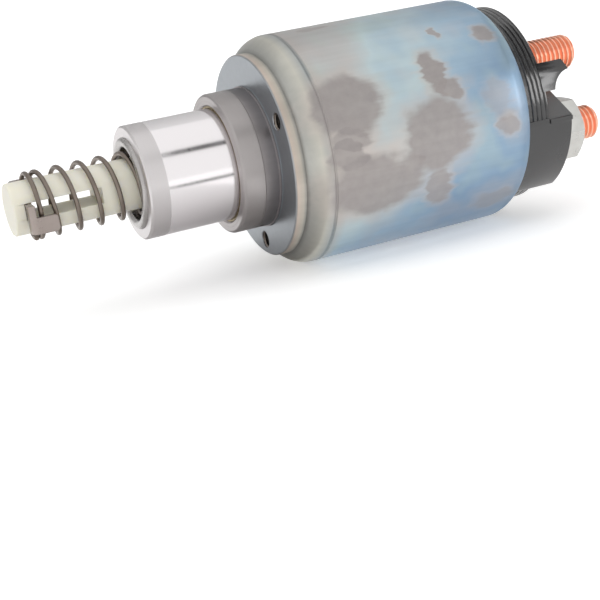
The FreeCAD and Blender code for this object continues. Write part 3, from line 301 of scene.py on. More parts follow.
# each blotch's middle on the unrolled case, its half widths there, and how deep the etch is. The first thirteen are
# the photograph's, the rest are round the back.
BLOTCHES = [
    ((16.9, 14.6), (10.3, 8.2), 0.9), ((15.9, 5.2), (5.6, 3.2), 0.7), ((41.8, 1.5), (10.2, 9.7), 0.9),
    ((44.7, 18.6), (3.8, 6.4), 0.95), ((48.3, 12.8), (3.8, 2.8), 0.9), ((51.7, 31.1), (1.5, 2.5), 0.8),
    ((21.8, -8.6), (14.4, 8.6), 0.9), ((14.6, 1.0), (5.4, 3.6), 0.75), ((41.3, -13.5), (4.2, 5.2), 0.75),
    ((64.7, 27.6), (3.0, 2.9), 0.85), ((61.7, 7.3), (3.8, 5.2), 0.35), ((63.6, 0.2), (3.2, 2.7), 0.7),
    ((61.5, -24.3), (6.0, 3.6), 0.4),
    ((30.0, 72.0), (8.5, 5.0), 0.85), ((37.5, 66.5), (5.5, 3.2), 0.7), ((23.0, 79.0), (4.0, 2.6), 0.7),
    ((52.0, 58.0), (3.4, 5.6), 0.75), ((57.5, 65.0), (2.2, 2.6), 0.7), ((20.0, 47.0), (4.8, 2.2), 0.5),
    ((22.0, -66.0), (7.5, 4.4), 0.8), ((30.0, -73.0), (5.2, 4.0), 0.75), ((14.5, -59.0), (3.0, 2.0), 0.6),
    ((56.0, -58.0), (5.4, 2.8), 0.55), ((44.0, 90.0), (4.0, 6.6), 0.75), ((50.0, 97.5), (3.2, 2.4), 0.6),
    ((37.0, -88.0), (6.8, 3.0), 0.65), ((45.0, -94.0), (3.0, 3.6), 0.6)]


def tapped_hole(angle):
    """A drill-pointed hole with an M5 thread: its radius is the root's less the thread's height, and at the
    countersunk mouth no less than a cone's."""
    x = np.linspace(-0.5, 8.0, 120)[:, None]
    turn = np.linspace(0, 2 * math.pi, 48, endpoint=False)[None]
    radius = BOLT_ROOT - BOLT_DEPTH * thread_height(x, turn, BOLT_PITCH)
    radius = np.maximum(radius, BOLT_ROOT + 0.05 - x)
    x = np.concatenate(([[-0.5]], x, [[9.25]]))
    radius = np.concatenate((0 * radius[:1], radius, 0 * radius[:1]))
    centre = BOLT_CIRCLE * np.array((math.cos(math.radians(angle)), math.sin(math.radians(angle))))
    points = (x + 0 * turn, centre[0] + radius * np.cos(turn), centre[1] + radius * np.sin(turn))
    return np.stack(points, -1)


corners = []
for corner in CASE_PROFILE:
    if corner == "shoulder":
        corners += arc_of_profile((3.1, 28.5), (9.5, CASE_RADIUS), 9.5)[1:] + GROOVE
    elif corner == "lip":
        corners += arc_of_profile((67.4, CASE_RADIUS), (72.0, 30.2), 67.4)
    else:
        corners.append(corner)
case = surface("case", turned(rounded(corners), 256), True)
first_hole, *more_holes = [tapped_hole(angle) for angle in BOLT_ANGLES]
drills = surface("drills", first_hole, False, [(hole, False) for hole in more_holes])
cut = case.modifiers.new("holes", "BOOLEAN")
cut.object, cut.solver = drills, "EXACT"
drilled = bpy.data.meshes.new_from_object(case.evaluated_get(bpy.context.evaluated_depsgraph_get()))
bpy.data.objects.remove(case)
bpy.data.objects.remove(drills)
case = settle("case", drilled)
dress(case, zinc_film(), "housing", "zinc_plate", "housing")


# Guide ring
# A separate steel ring, turned and pressed on to the front of the case. It makes the collar that
# centres the switch in the drive housing. Its lathe lines are about 0.1 mm apart.

def lathe_lines(tree, place, pitch_mm, strength):
    """A bump of rings about X: noise read at (x, distance from the axis), so that it is even all the way round."""
    split = add(tree, "ShaderNodeSeparateXYZ", {0: place})
    flat = add(tree, "ShaderNodeCombineXYZ", {1: split.outputs[1], 2: split.outputs[2]}).outputs[0]
    out = add(tree, "ShaderNodeVectorMath", {0: flat}, operation="LENGTH").outputs["Value"]
    rings = add(tree, "ShaderNodeCombineXYZ", {0: split.outputs[0], 1: out}).outputs[0]
    lines = add(tree, "ShaderNodeTexNoise", {"Vector": rings, "Scale": 1000 / pitch_mm, "Detail": 2.0}).outputs[0]
    return lines, add(tree, "ShaderNodeBump", {"Strength": strength, "Distance": 0.00002, "Height": lines}).outputs[0]


def turned_steel(name, code, roughness, strength):
    """Bright mild steel from the lathe: grey metal with fine rings, drawn 0.25 mm apart so that they show."""
    material, tree, shader, place = finish_named(name)
    lines, bump = lathe_lines(tree, place, 0.25, strength)
    tree.links.new(bump, shader.inputs["Normal"])
    rough = add(tree, "ShaderNodeMapRange",
                {0: lines, 1: 0.3, 2: 0.7, 3: roughness - 0.05, 4: roughness + 0.07}).outputs[0]
    tree.links.new(rough, shader.inputs["Roughness"])
    cloud = add(tree, "ShaderNodeTexNoise", {"Vector": place, "Scale": 60.0, "Detail": 2.0}).outputs[0]
    shade = add(tree, "ShaderNodeMapRange", {0: cloud, 1: 0.3, 2: 0.7, 3: 0.9, 4: 1.06}).outputs[0]
    tint = add(tree, "ShaderNodeVectorMath", {0: colour(code)[:3], "Scale": shade}, operation="SCALE").outputs[0]
    tree.links.new(tint, shader.inputs["Base Color"])
    shader.inputs["Metallic"].default_value = 1.0
    shader.inputs["Anisotropic"].default_value = 0.45
    along_lines = add(tree, "ShaderNodeTangent", direction_type="RADIAL", axis="X").outputs[0]
    tree.links.new(along_lines, shader.inputs["Tangent"])
    return material


collar_steel = turned_steel("turned collar steel", "#aaa5a4", roughness=0.32, strength=0.35)
ring_profile = [(-11.1, 16.72, 0.1), (-11.1, 18.95, 0.35), (-10.85, 19.35, 0.3), (-10.3, 19.6, 0.3),
                (-4.82, 19.6, 0.08), (-4.7, 19.5, 0.05), (-4.7, 16.37, 0), (-10.75, 16.37, 0.1)]
guide_ring = surface("guide_ring_turned", turned(rounded(ring_profile)), True)
dress(guide_ring, collar_steel, "housing", "turned_steel", "guide_ring")


# Guide sleeve
# Thin drawn brass tube in which the plunger slides. Only its rim shows, just inside the collar.

def drawn_brass():
    """Drawn brass tube, its colour darkened as painted shade for its rim inside the collar: warm yellow metal with
    fine lengthways marks.
    """
    material, tree, shader, place = finish_named("drawn brass")
    stretch = add(tree, "ShaderNodeMapping", {0: place, 3: (40.0, 900.0, 900.0)}).outputs[0]
    marks = add(tree, "ShaderNodeTexNoise", {"Vector": stretch, "Scale": 1.0, "Detail": 2.0}).outputs[0]
    rough = add(tree, "ShaderNodeMapRange", {0: marks, 1: 0.3, 2: 0.7, 3: 0.22, 4: 0.34}).outputs[0]
    tree.links.new(rough, shader.inputs["Roughness"])
    # the base colour is darkened: painted shade for the rim inside the collar
    shader.inputs["Base Color"].default_value = colour("#857654")
    shader.inputs["Metallic"].default_value = 1.0
    return material


sleeve_profile = [(-10.7, 15.82, 0.1), (-10.7, 16.32, 0.1), (46.0, 16.32, 0.1), (46.0, 15.82, 0.1)]
sleeve = surface("guide_sleeve_tube", turned(rounded(sleeve_profile)), True)
dress(sleeve, drawn_brass(), "housing", "brass_tube", "guide_sleeve")


# Coil
# A glass-filled moulded bobbin, a layer of thick enamelled copper wire under many thin ones, and a
# wrap of varnished paper tape. It is shut in the case.

COIL_FRONT, COIL_REAR = 12.65, 55.65


def moulded(name, code, roughness):
    """Moulded engineering plastic: one colour with a faint cloud, and a fine satin grain of 0.3 mm."""
    material, tree, shader, place = finish_named(name)
    cloud = add(tree, "ShaderNodeTexNoise", {"Vector": place, "Scale": 90.0, "Detail": 3.0}).outputs[0]
    shade = add(tree, "ShaderNodeMapRange", {0: cloud, 1: 0.3, 2: 0.7, 3: 0.93, 4: 1.05}).outputs[0]
    tint = add(tree, "ShaderNodeVectorMath", {0: colour(code)[:3], "Scale": shade}, operation="SCALE").outputs[0]
    tree.links.new(tint, shader.inputs["Base Color"])
    grain = add(tree, "ShaderNodeTexNoise", {"Vector": place, "Scale": 1000 / 0.3, "Detail": 2.0}).outputs[0]
    bump = add(tree, "ShaderNodeBump", {"Strength": 0.15, "Distance": 0.00003, "Height": grain}).outputs[0]
    tree.links.new(bump, shader.inputs["Normal"])
    shader.inputs["Roughness"].default_value = roughness
    return material


def enamelled_copper():
    """Copper wire in clear polyester enamel: deep red-brown metal under a gloss."""
    material, tree, shader, place = finish_named("enamelled copper wire")
    cloud = add(tree, "ShaderNodeTexNoise", {"Vector": place, "Scale": 300.0, "Detail": 2.0}).outputs[0]
    tint = add(tree, "ShaderNodeMix", {0: cloud, 6: colour("#8e3a1c"), 7: colour("#b4572e")},
               data_type="RGBA").outputs[2]
    tree.links.new(tint, shader.inputs["Base Color"])
    shader.inputs["Metallic"].default_value = 0.7
    shader.inputs["Roughness"].default_value = 0.3
    shader.inputs["Coat Weight"].default_value = 0.8
    return material


def winding(name, inner, outer, wire, node):
    """Turns side by side: the outer radius rises and falls as a half circle over each wire's width."""
    x = np.linspace(COIL_FRONT, COIL_REAR, int((COIL_REAR - COIL_FRONT) / wire) * 8 + 1)
    lean = np.mod((x - COIL_FRONT) / wire, 1) * 2 - 1
    outside = outer - wire / 2 + wire / 2 * np.sqrt(np.clip(1 - lean ** 2, 0, 1))
    profile = np.concatenate(([[COIL_FRONT, inner]], np.stack((x, outside), -1), [[COIL_REAR, inner]]))
    dress(surface(name, turned(profile, 96), True), wire_enamel, "housing", "winding", node)


def finish_solids(finish, *names):
    """Gives solids that keep their shape their material."""
    for name in names:
        solids[name].data.materials.clear()
        solids[name].data.materials.append(finish)


wire_enamel = enamelled_copper()
winding("pull_in_turns", inner=18.0, outer=23.1, wire=1.4, node="pull_in_winding")
winding("hold_in_turns", inner=23.25, outer=27.0, wire=0.7, node="hold_in_winding")
finish_solids(moulded("glass-filled bobbin moulding", "#c9bd9c", 0.5), "coil_bobbin")
finish_solids(moulded("varnished paper tape", "#a98a55", 0.42), "coil_wrap")


# Core and its plate
# Soft iron, turned. The core's nose stops the plunger, and the plate closes the magnet's path.

finish_solids(turned_steel("soft iron", "#8d8b88", roughness=0.38, strength=0.3), "fixed_core", "core_plate")


# Terminal cap
# Black phenolic moulding, hard and half glossy, held by the rolled edge of the case. Four fine
# grooves run round it, and a pointed horn keeps the two cable lugs apart.

def smoothed(name, node, bevel_mm=0.0):
    """A merged copy of a solid, shaded smooth between its edges, with its edges broken if a bevel is given."""
    mesh = solids[node].data.copy()
    whole = bmesh.new()
    whole.from_mesh(mesh)
    bmesh.ops.remove_doubles(whole, verts=whole.verts, dist=2e-6)
    bmesh.ops.dissolve_limit(whole, angle_limit=math.radians(0.5), verts=whole.verts, edges=whole.edges)
    whole.to_mesh(mesh)
    whole.free()
    piece = settle(name, mesh, sharp=28)
    if bevel_mm:
        broken = piece.modifiers.new("broken edges", "BEVEL")
        broken.width, broken.segments, broken.limit_method = bevel_mm / 1000, 2, "ANGLE"
        broken.angle_limit = math.radians(30)
        broken.harden_normals = True
    return piece


def phenolic():
    """Black phenolic moulding: charcoal, with a faint flow pattern and a skin that shines softly."""
    material, tree, shader, place = finish_named("black phenolic")
    flow = add(tree, "ShaderNodeTexNoise",
               {"Vector": place, "Scale": 70.0, "Detail": 4.0, "Distortion": 0.8}).outputs[0]
    tint = add(tree, "ShaderNodeMix", {0: flow, 6: colour("#151415"), 7: colour("#212021")},
               data_type="RGBA").outputs[2]
    rough = add(tree, "ShaderNodeMapRange", {0: flow, 1: 0.3, 2: 0.7, 3: 0.2, 4: 0.3}).outputs[0]
    grain = add(tree, "ShaderNodeTexNoise", {"Vector": place, "Scale": 3000.0, "Detail": 2.0}).outputs[0]
    bump = add(tree, "ShaderNodeBump", {"Strength": 0.12, "Distance": 0.00003, "Height": grain}).outputs[0]
    tree.links.new(tint, shader.inputs["Base Color"])
    tree.links.new(rough, shader.inputs["Roughness"])
    tree.links.new(bump, shader.inputs["Normal"])
    shader.inputs["IOR"].default_value = 1.6
    shader.inputs["Specular IOR Level"].default_value = 0.6
    shader.inputs["Coat Weight"].default_value = 0.25
    shader.inputs["Coat Roughness"].default_value = 0.15
    return material


cap = smoothed("terminal_cap_moulding", "terminal_cap", bevel_mm=0.15)
dress(cap, phenolic(), "housing", "phenolic", "terminal_cap")
finish_solids(moulded("seal rubber", "#1b1b1b", 0.6), "cap_gasket", "battery_seal", "motor_seal")


# Terminal studs
# M10 copper studs with rolled threads, 1.5 mm pitch, and square heads inside the cap, 14 mm wide with
# cut corners. The end of each is bevelled. New copper, bright and pinkish.

STUD_CIRCLE = 16.95
BATTERY_ANGLE, MOTOR_ANGLE = 130, 210
STUD_ROOT, STUD_DEPTH, STUD_PITCH = 4.08, 0.92, 1.5
HEAD_FRONT, HEAD_REAR = 73.0, 76.5
HEAD_HALF, HEAD_CORNER = 7.0, 9.3


def bright_copper():
    """Bare copper, bright from the thread rolls, its tone and gloss varying a little in clouds."""
    material, tree, shader, place = finish_named("bright copper")
    cloud = add(tree, "ShaderNodeTexNoise", {"Vector": place, "Scale": 350.0, "Detail": 3.0}).outputs[0]
    tint = add(tree, "ShaderNodeMix", {0: cloud, 6: colour("#f5a98a"), 7: colour("#fec8b0")},
               data_type="RGBA").outputs[2]
    tree.links.new(tint, shader.inputs["Base Color"])
    rough = add(tree, "ShaderNodeMapRange", {0: cloud, 1: 0.3, 2: 0.7, 3: 0.28, 4: 0.42}).outputs[0]
    tree.links.new(rough, shader.inputs["Roughness"])
    shader.inputs["Metallic"].default_value = 1.0
    return material


def at_angle(points, angle, radius):
    """Turns points about X by an angle and moves them out to a radius at that angle."""
    cosine, sine = math.cos(math.radians(angle)), math.sin(math.radians(angle))
    x, y, z = np.moveaxis(points, -1, 0)
    return np.stack((x, y * cosine - z * sine + radius * cosine, y * sine + z * cosine + radius * sine), -1)


def stud(name, node, angle, thread_start, end):
    """A shank whose radius is the root's plus the thread's height, and at its end no more than a cone's, and a
    square head: its radius is the square's at that angle, cut by a circle."""
    x = np.arange(thread_start, end + 0.01, 0.1)[:, None]
    turn = np.linspace(0, 2 * math.pi, 72, endpoint=False)[None]
    radius = STUD_ROOT + STUD_DEPTH * thread_height(x, turn, STUD_PITCH)
    radius = np.minimum(radius, 3.9 + end - x)
    neck = np.array((HEAD_REAR, HEAD_REAR, thread_start - 0.01, thread_start - 0.02))[:, None]
    x = np.concatenate((neck, x, [[end], [end]]))
    neck_radius = np.array((0, 4.9, 4.9, STUD_ROOT))[:, None] + 0 * turn
    radius = np.concatenate((neck_radius, radius, 3.7 + 0 * turn, 0 * turn))
    shank = np.stack((x + 0 * turn, radius * np.cos(turn), radius * np.sin(turn)), -1)
    side = np.linspace(0, 2 * math.pi, 64, endpoint=False)
    square = np.minimum(HEAD_HALF / np.maximum(np.abs(np.cos(side)), np.abs(np.sin(side))), HEAD_CORNER)
    rows = np.array([
        (HEAD_FRONT, 0.0), (HEAD_FRONT, 0.955), (HEAD_FRONT + 0.3, 1.0), (HEAD_REAR, 1.0), (HEAD_REAR, 0.0)])
    x, scale = rows[:, :1], rows[:, 1:]
    head = np.stack((x + 0 * side, scale * square * np.cos(side), scale * square * np.sin(side)), -1)
    parts = [(at_angle(head, angle, STUD_CIRCLE), False)]
    piece = surface(name, at_angle(shank, angle, STUD_CIRCLE), False, parts)
    dress(piece, copper, "housing", "copper", node)


copper = bright_copper()
stud("battery_stud_threaded", "battery_stud", BATTERY_ANGLE, thread_start=82.05, end=99.2)
stud("motor_stud_threaded", "motor_stud", MOTOR_ANGLE, thread_start=87.05, end=103.1)
finish_solids(turned_steel("keeper steel", "#8f8f8f", roughness=0.35, strength=0.2), "battery_keeper")


# Motor terminal nut
# Hexagon nut, 17 mm across flats, pale zinc plate, with both faces bevelled at 30 degrees.

def pale_zinc():
    """Clear passivated zinc on a forged nut: pale grey, satin, faintly mottled."""
    material, tree, shader, place = finish_named("clear zinc plate")
    cloud = add(tree, "ShaderNodeTexNoise", {"Vector": place, "Scale": 400.0, "Detail": 4.0}).outputs[0]
    tint = add(tree, "ShaderNodeMix", {0: cloud, 6: colour("#b9b8b3"), 7: colour("#d5d5d2")},
               data_type="RGBA").outputs[2]
    tree.links.new(tint, shader.inputs["Base Color"])
    rough = add(tree, "ShaderNodeMapRange", {0: cloud, 1: 0.3, 2: 0.7, 3: 0.26, 4: 0.4}).outputs[0]
    tree.links.new(rough, shader.inputs["Roughness"])
    shader.inputs["Metallic"].default_value = 0.95
    return material


def hexagon_nut(front, height, flats, bore):
    """Each ring's radius is the hexagon's at that angle, cut down by a cone near both faces."""
    turn = np.linspace(0, 2 * math.pi, 192, endpoint=False)
    hexagon = flats / 2 / np.cos(np.mod(turn, math.pi / 3) - math.pi / 6)
    depth = np.concatenate((np.linspace(0, 1.6, 17), np.linspace(2.4, height / 2, 3)))
    x = np.concatenate((front + depth, front + height - depth[::-1]))
    inward = np.minimum(x - front, front + height - x)
    radius = np.minimum(hexagon[None], (flats / 2 * 0.985 + inward * math.tan(math.radians(60)))[:, None])
    x = np.concatenate(([front + 0.5, front], x, [front + height, front + height - 0.5]))
    hole = np.array((bore, bore + 0.5))[:, None] + 0 * hexagon[None]
    radius = np.concatenate((hole, radius, hole[::-1]))
    return np.stack((x[:, None] + 0 * turn, radius * np.cos(turn), radius * np.sin(turn)), -1)


nut_points = hexagon_nut(front=87.0, height=8.0, flats=17.0, bore=4.6)
shift = STUD_CIRCLE * np.array((0, math.cos(math.radians(MOTOR_ANGLE)), math.sin(math.radians(MOTOR_ANGLE))))
nut = surface("motor_nut_hexagon", nut_points + shift, True)
dress(nut, pale_zinc(), "housing", "nut_plate", "motor_nut")


# Control terminal
# Stamped 6.3 mm blade, tin plated.

tin_plate = turned_steel("tin plate", "#c9c8c2", roughness=0.3, strength=0.1)
blade = smoothed("control_blade", "control_terminal")
dress(blade, tin_plate, "housing", "tin_plate", "control_terminal")


# Plunger
# Ground and polished steel, mirror bright, with a duller turned band 5 mm wide at its front. The
# shift lever draws it out and the coil draws it in.

BAND_REAR = -30.5


def ground_steel():
    """Ground and polished steel: a clear reflection, blurred on the turned band and the front face. Its lines are
    drawn 0.2 mm apart so that they show."""
    material, tree, shader, place = finish_named("ground and polished steel")
    along = add(tree, "ShaderNodeSeparateXYZ", {0: place}).outputs[0]
    lines, bump = lathe_lines(tree, place, pitch_mm=0.2, strength=0.22)
    band = add(tree, "ShaderNodeMapRange",
               {0: along, 1: (BAND_REAR + 0.1) / 1000, 2: (BAND_REAR - 0.1) / 1000}).outputs[0]
    dull = add(tree, "ShaderNodeMapRange", {0: lines, 1: 0.3, 2: 0.7, 3: 0.3, 4: 0.4}).outputs[0]
    clear = add(tree, "ShaderNodeMapRange", {0: lines, 1: 0.3, 2: 0.7, 3: 0.13, 4: 0.2}).outputs[0]
    rough = add(tree, "ShaderNodeMix", {0: band, 2: clear, 3: dull}).outputs[0]
    tint = add(tree, "ShaderNodeMix", {0: band, 6: colour("#f0eced"), 7: colour("#d1cdcd")},
               data_type="RGBA").outputs[2]
    tree.links.new(tint, shader.inputs["Base Color"])
    tree.links.new(rough, shader.inputs["Roughness"])
    tree.links.new(bump, shader.inputs["Normal"])
    shader.inputs["Metallic"].default_value = 1.0
    return material


plunger_profile = [(-36.0, 11.05, 0.05), (-36.0, 15.25, 0.12), (-35.5, 15.75, 0.15), (21.0, 15.75, 0.2),
                   (22.0, 14.75, 0.2), (22.0, 0.0, 0), (-18.75, 0.0, 0), (-18.75, 9.65, 0.1), (-22.0, 9.65, 0.1),
                   (-22.0, 11.05, 0.05)]
plunger = surface("plunger_ground", turned(rounded(plunger_profile), 256), True)
dress(plunger, ground_steel(), "plunger", "polished_steel", "plunger")


# Spring cup
# Deep-drawn steel cup, swaged into the plunger's mouth. Its rolled lip stands out of the plunger.

def pressed_sheet(name, dark, pale):
    """Cold-rolled steel sheet after pressing: warm grey, satin, with a cloudy sheen."""
    material, tree, shader, place = finish_named(name)
    cloud = add(tree, "ShaderNodeTexNoise", {"Vector": place, "Scale": 220.0, "Detail": 4.0}).outputs[0]
    tint = add(tree, "ShaderNodeMix", {0: cloud, 6: colour(dark), 7: colour(pale)}, data_type="RGBA").outputs[2]
    rough = add(tree, "ShaderNodeMapRange", {0: cloud, 1: 0.3, 2: 0.7, 3: 0.24, 4: 0.34}).outputs[0]
    grain = add(tree, "ShaderNodeTexNoise", {"Vector": place, "Scale": 2500.0, "Detail": 2.0}).outputs[0]
    bump = add(tree, "ShaderNodeBump", {"Strength": 0.2, "Distance": 0.00003, "Height": grain}).outputs[0]
    tree.links.new(tint, shader.inputs["Base Color"])
    tree.links.new(rough, shader.inputs["Roughness"])
    tree.links.new(bump, shader.inputs["Normal"])
    shader.inputs["Metallic"].default_value = 1.0
    return material


lip = [(-36.0 - 1.1 * math.sin(t), 11.35 + 1.35 * math.cos(t), 0) for t in np.linspace(0, math.pi, 21)]
cup_profile = [(-22.0, 7.2, 0.2), (-22.0, 11.0, 0.6), (-36.0, 11.0, 0), *lip, (-23.0, 10.0, 0.5), (-23.0, 7.2, 0.2)]
cup = surface("spring_cup_drawn", turned(rounded(cup_profile)), True)
dress(cup, pressed_sheet("drawn cup steel", "#a3a09e", "#bdbab8"), "plunger", "pressed_steel", "spring_cup")


# Pull rod
# Natural nylon, moulded: ivory white, and a little light passes into it. A long slot for the shift
# lever's tip runs through it.

def natural_nylon():
    """Unfilled nylon: ivory, satin, cloudy to a depth of about 1.5 mm."""
    material, tree, shader, place = finish_named("natural nylon")
    cloud = add(tree, "ShaderNodeTexNoise", {"Vector": place, "Scale": 120.0, "Detail": 3.0}).outputs[0]
    tint = add(tree, "ShaderNodeMix", {0: cloud, 6: colour("#e3dfce"), 7: colour("#eeebdf")},
               data_type="RGBA").outputs[2]
    rough = add(tree, "ShaderNodeMapRange", {0: cloud, 1: 0.3, 2: 0.7, 3: 0.36, 4: 0.5}).outputs[0]
    tree.links.new(tint, shader.inputs["Base Color"])
    tree.links.new(rough, shader.inputs["Roughness"])
    shader.inputs["Subsurface Weight"].default_value = 0.5
    shader.inputs["Subsurface Radius"].default_value = (1.0, 0.9, 0.6)
    shader.inputs["Subsurface Scale"].default_value = 0.0015
    shader.inputs["IOR"].default_value = 1.53
    return material


rod = smoothed("pull_rod_moulding", "pull_rod", bevel_mm=0.3)
dress(rod, natural_nylon(), "plunger", "nylon", "pull_rod")


# Spring clip
# A strip of steel, 1.7 mm thick, blanked and bent. It lies in the slot behind the lever's tip, and
# its two legs hold it over the spring's first turn.

clip = smoothed("spring_clip_pressed", "spring_clip", bevel_mm=0.18)
dress(clip, pressed_sheet("pressed clip steel", "#8d837e", "#a89d97"), "spring_clip", "pressed_steel", "spring_clip")


# Springs
# Cold-wound patented steel wire, oiled: grey-brown. Both ends of each are closed. The engagement
# spring shows; the other three are inside.


def spring_wire():
    """Drawn and oiled spring steel: dark grey-brown with a soft line of light along the wire."""
    material, tree, shader, place = finish_named("oiled spring steel")
    cloud = add(tree, "ShaderNodeTexNoise", {"Vector": place, "Scale": 260.0, "Detail": 3.0}).outputs[0]
    tint = add(tree, "ShaderNodeMix", {0: cloud, 6: colour("#6f655e"), 7: colour("#94897f")},
               data_type="RGBA").outputs[2]
    rough = add(tree, "ShaderNodeMapRange", {0: cloud, 1: 0.3, 2: 0.7, 3: 0.28, 4: 0.42}).outputs[0]
    tree.links.new(tint, shader.inputs["Base Color"])
    tree.links.new(rough, shader.inputs["Roughness"])
    shader.inputs["Metallic"].default_value = 1.0
    return material


def wound(name, node, body, mean, wire, front, rear, turns, start, joint=None, first=1.0):
    """Round wire along a helix. x rises by one wire a turn over the first turns and the last, and evenly between.
    Each ring lies square to the helix's own direction, and the ends are cut flat."""
    closed = wire + 0.05
    count = int(turns * 48) + 1
    turn = np.linspace(0, turns, count)
    x = np.interp(turn, (0, first, turns - 1, turns),
                  (front + wire / 2, front + wire / 2 + first * closed, rear - wire / 2 - closed, rear - wire / 2))
    angle = math.radians(start) + 2 * math.pi * turn
    line = np.stack((x, mean * np.cos(angle), mean * np.sin(angle)), -1)
    ahead = np.gradient(line, axis=0)
    ahead /= np.linalg.norm(ahead, axis=1, keepdims=True)
    out = np.stack((0 * angle, np.cos(angle), np.sin(angle)), -1)
    beside = np.cross(ahead, out)
    around = np.linspace(0, 2 * math.pi, 16, endpoint=False)[None, :, None]
    section = np.cos(around) * out[:, None] + np.sin(around) * beside[:, None]
    rows = np.concatenate(([0, 0, 0], np.arange(count), [count - 1] * 3))
    radius = np.concatenate(([0, 0.7, 0.93], np.ones(count), [0.93, 0.7, 0])) * wire / 2
    points = line[rows][:, None] + section[rows] * radius[:, None, None]
    piece = dress(surface(name, points, False), oiled_wire, body, "spring_steel", node)
    if joint:
        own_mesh(piece)


oiled_wire = spring_wire()
wound("engagement_spring_wire", "engagement_spring", "plunger", mean=8.6, wire=1.3, front=-65.2, rear=-23.05,
      turns=8.66, start=257.5, joint="clip_slide", first=1.25)
wound("return_spring_wire", "return_spring", "housing", mean=6.8, wire=1.3, front=22.05, rear=45.95,
      turns=6.0, start=0, joint="plunger_slide")
wound("pressure_spring_wire", "pressure_spring", "contact", mean=4.2, wire=0.8, front=59.65, rear=66.45,
      turns=4.5, start=0)
wound("contact_return_spring_wire", "contact_return_spring", "housing", mean=4.7, wire=0.7, front=70.75, rear=82.45,
      turns=5.5, start=0, joint="contact_slide")


# Contact
# A bright steel rod carries a copper disc between insulating bushes. The plunger's tail pushes it,
# and the disc joins the heads of the two studs.

finish_solids(turned_steel("drawn rod steel", "#a9a8a6", roughness=0.28, strength=0.15),
              "contact_rod", "contact_circlip")
finish_solids(moulded("bush moulding", "#a3957a", 0.5), "contact_bush", "contact_washer")
finish_solids(copper, "contact_bridge")


# Floor
# Plain white paper on which the part lies.

def seen_as_white(tree):
    """1 for a ray from the camera, straight or by way of metal or glass, and 0 for one that lights a matt surface."""
    path = add(tree, "ShaderNodeLightPath").outputs
    seen = add(tree, "ShaderNodeMath", {0: path["Is Camera Ray"], 1: path["Is Glossy Ray"]}, operation="MAXIMUM")
    return add(tree, "ShaderNodeMath", {0: seen.outputs[0], 1: path["Is Transmission Ray"]},
               operation="MAXIMUM").outputs[0]


def white_paper():
    """Matt white paper. Where it is seen it also gives a little light, so that it reads as white."""
    material, tree, shader, place = finish_named("white paper")
    fibre = add(tree, "ShaderNodeTexNoise", {"Vector": place, "Scale": 30.0, "Detail": 2.0}).outputs[0]
    tint = add(tree, "ShaderNodeMix", {0: fibre, 6: colour("#f4f4f4"), 7: colour("#fafafa")},
               data_type="RGBA").outputs[2]
    tree.links.new(tint, shader.inputs["Base Color"])
    shader.inputs["Roughness"].default_value = 0.9
    lift = add(tree, "ShaderNodeEmission", {"Strength": 0.33}).outputs[0]
    none = add(tree, "ShaderNodeEmission", {"Strength": 0.0}).outputs[0]
    glow = add(tree, "ShaderNodeMixShader", {0: seen_as_white(tree), 1: none, 2: lift}).outputs[0]
    both = add(tree, "ShaderNodeAddShader", {0: shader.outputs[0], 1: glow}).outputs[0]
    tree.links.new(both, tree.nodes["Material Output"].inputs[0])
    return material


FLOOR_TOP = -0.0327
bpy.ops.mesh.primitive_plane_add(size=30.0, location=(0, 0, FLOOR_TOP))
floor = bpy.context.object
floor.name = "floor"
floor.data.materials.append(white_paper())


# Light
# A white tent, brightest above and in front with a narrow dark gap between, lights every matt surface: TENT
# gives its brightness at angles about X, from 0 behind the part over 90 above it. The camera, metal and
# glass see plain white in its place.

TENT = [(0.0, 0.55), (40, 0.62), (60, 0.74), (68, 1.25), (122, 1.25), (126, 0.06), (132.5, 0.06), (137, 1.12),
        (180, 1.12), (182, 0.95), (262, 0.75), (330, 0.5)]
world = bpy.data.worlds.new("tent")
world.use_nodes = True
bpy.context.scene.world = world
sky = world.node_tree
heading = add(sky, "ShaderNodeSeparateXYZ", {0: add(sky, "ShaderNodeTexCoord").outputs["Generated"]})
round_x = add(sky, "ShaderNodeMath", {0: heading.outputs[2], 1: heading.outputs[1]}, operation="ARCTAN2").outputs[0]
turn_share = add(sky, "ShaderNodeMath", {0: round_x, 1: 2 * math.pi}, operation="DIVIDE").outputs[0]
turn_share = add(sky, "ShaderNodeMath", {0: turn_share, 1: 0.0, 2: 1.0}, operation="WRAP").outputs[0]
tent = add(sky, "ShaderNodeValToRGB", {0: turn_share})
for index, (degrees, light) in enumerate(TENT):
    stop = tent.color_ramp.elements[0] if index == 0 else tent.color_ramp.elements.new(degrees / 360)
    stop.position, stop.color = degrees / 360, (light, light, light, 1)
tent.color_ramp.elements[-1].color = (TENT[0][1], TENT[0][1], TENT[0][1], 1)
shown = add(sky, "ShaderNodeMix", {0: seen_as_white(sky), 6: tent.outputs[0], 7: (1, 1, 1, 1)},
            data_type="RGBA").outputs[2]
sky.links.new(shown, sky.nodes["Background"].inputs[0])

# cards that only reflections see, each with its span along X, its two ends (y, z) in millimetres, its colour at
# each and its glow: a black one and a lit one close to the cap give it its bands, two black strips draw the
# plunger's lines, a grey one under the plunger darkens its lower side, and a wide grey one 3 m behind shades
# every top
CARDS = [((81.5, 96), [(-9, 51.5), (-46.3, 24)], ("#0c0c0c", "#0c0c0c"), 0.0),
         ((82.5, 95), [(-46.5, 23.5), (-50.4, 5)], ("#ffffff", "#ffffff"), 4.8),
         ((10, 47), [(-87, 123), (-105, 108)], ("#0c0c0c", "#0c0c0c"), 0.0),
         ((5, 60), [(-172, -32.3), (-120, -32.3)], ("#0c0c0c", "#0c0c0c"), 0.0),
         ((-75, 6), [(-119, -32.5), (30, -32.5)], ("#ffffff", "#dedcdc"), 0.0),
         ((-3000, 3000), [(2998, 105), (1408, 2649)], ("#bcbcbc", "#e8e8e8"), 0.0)]


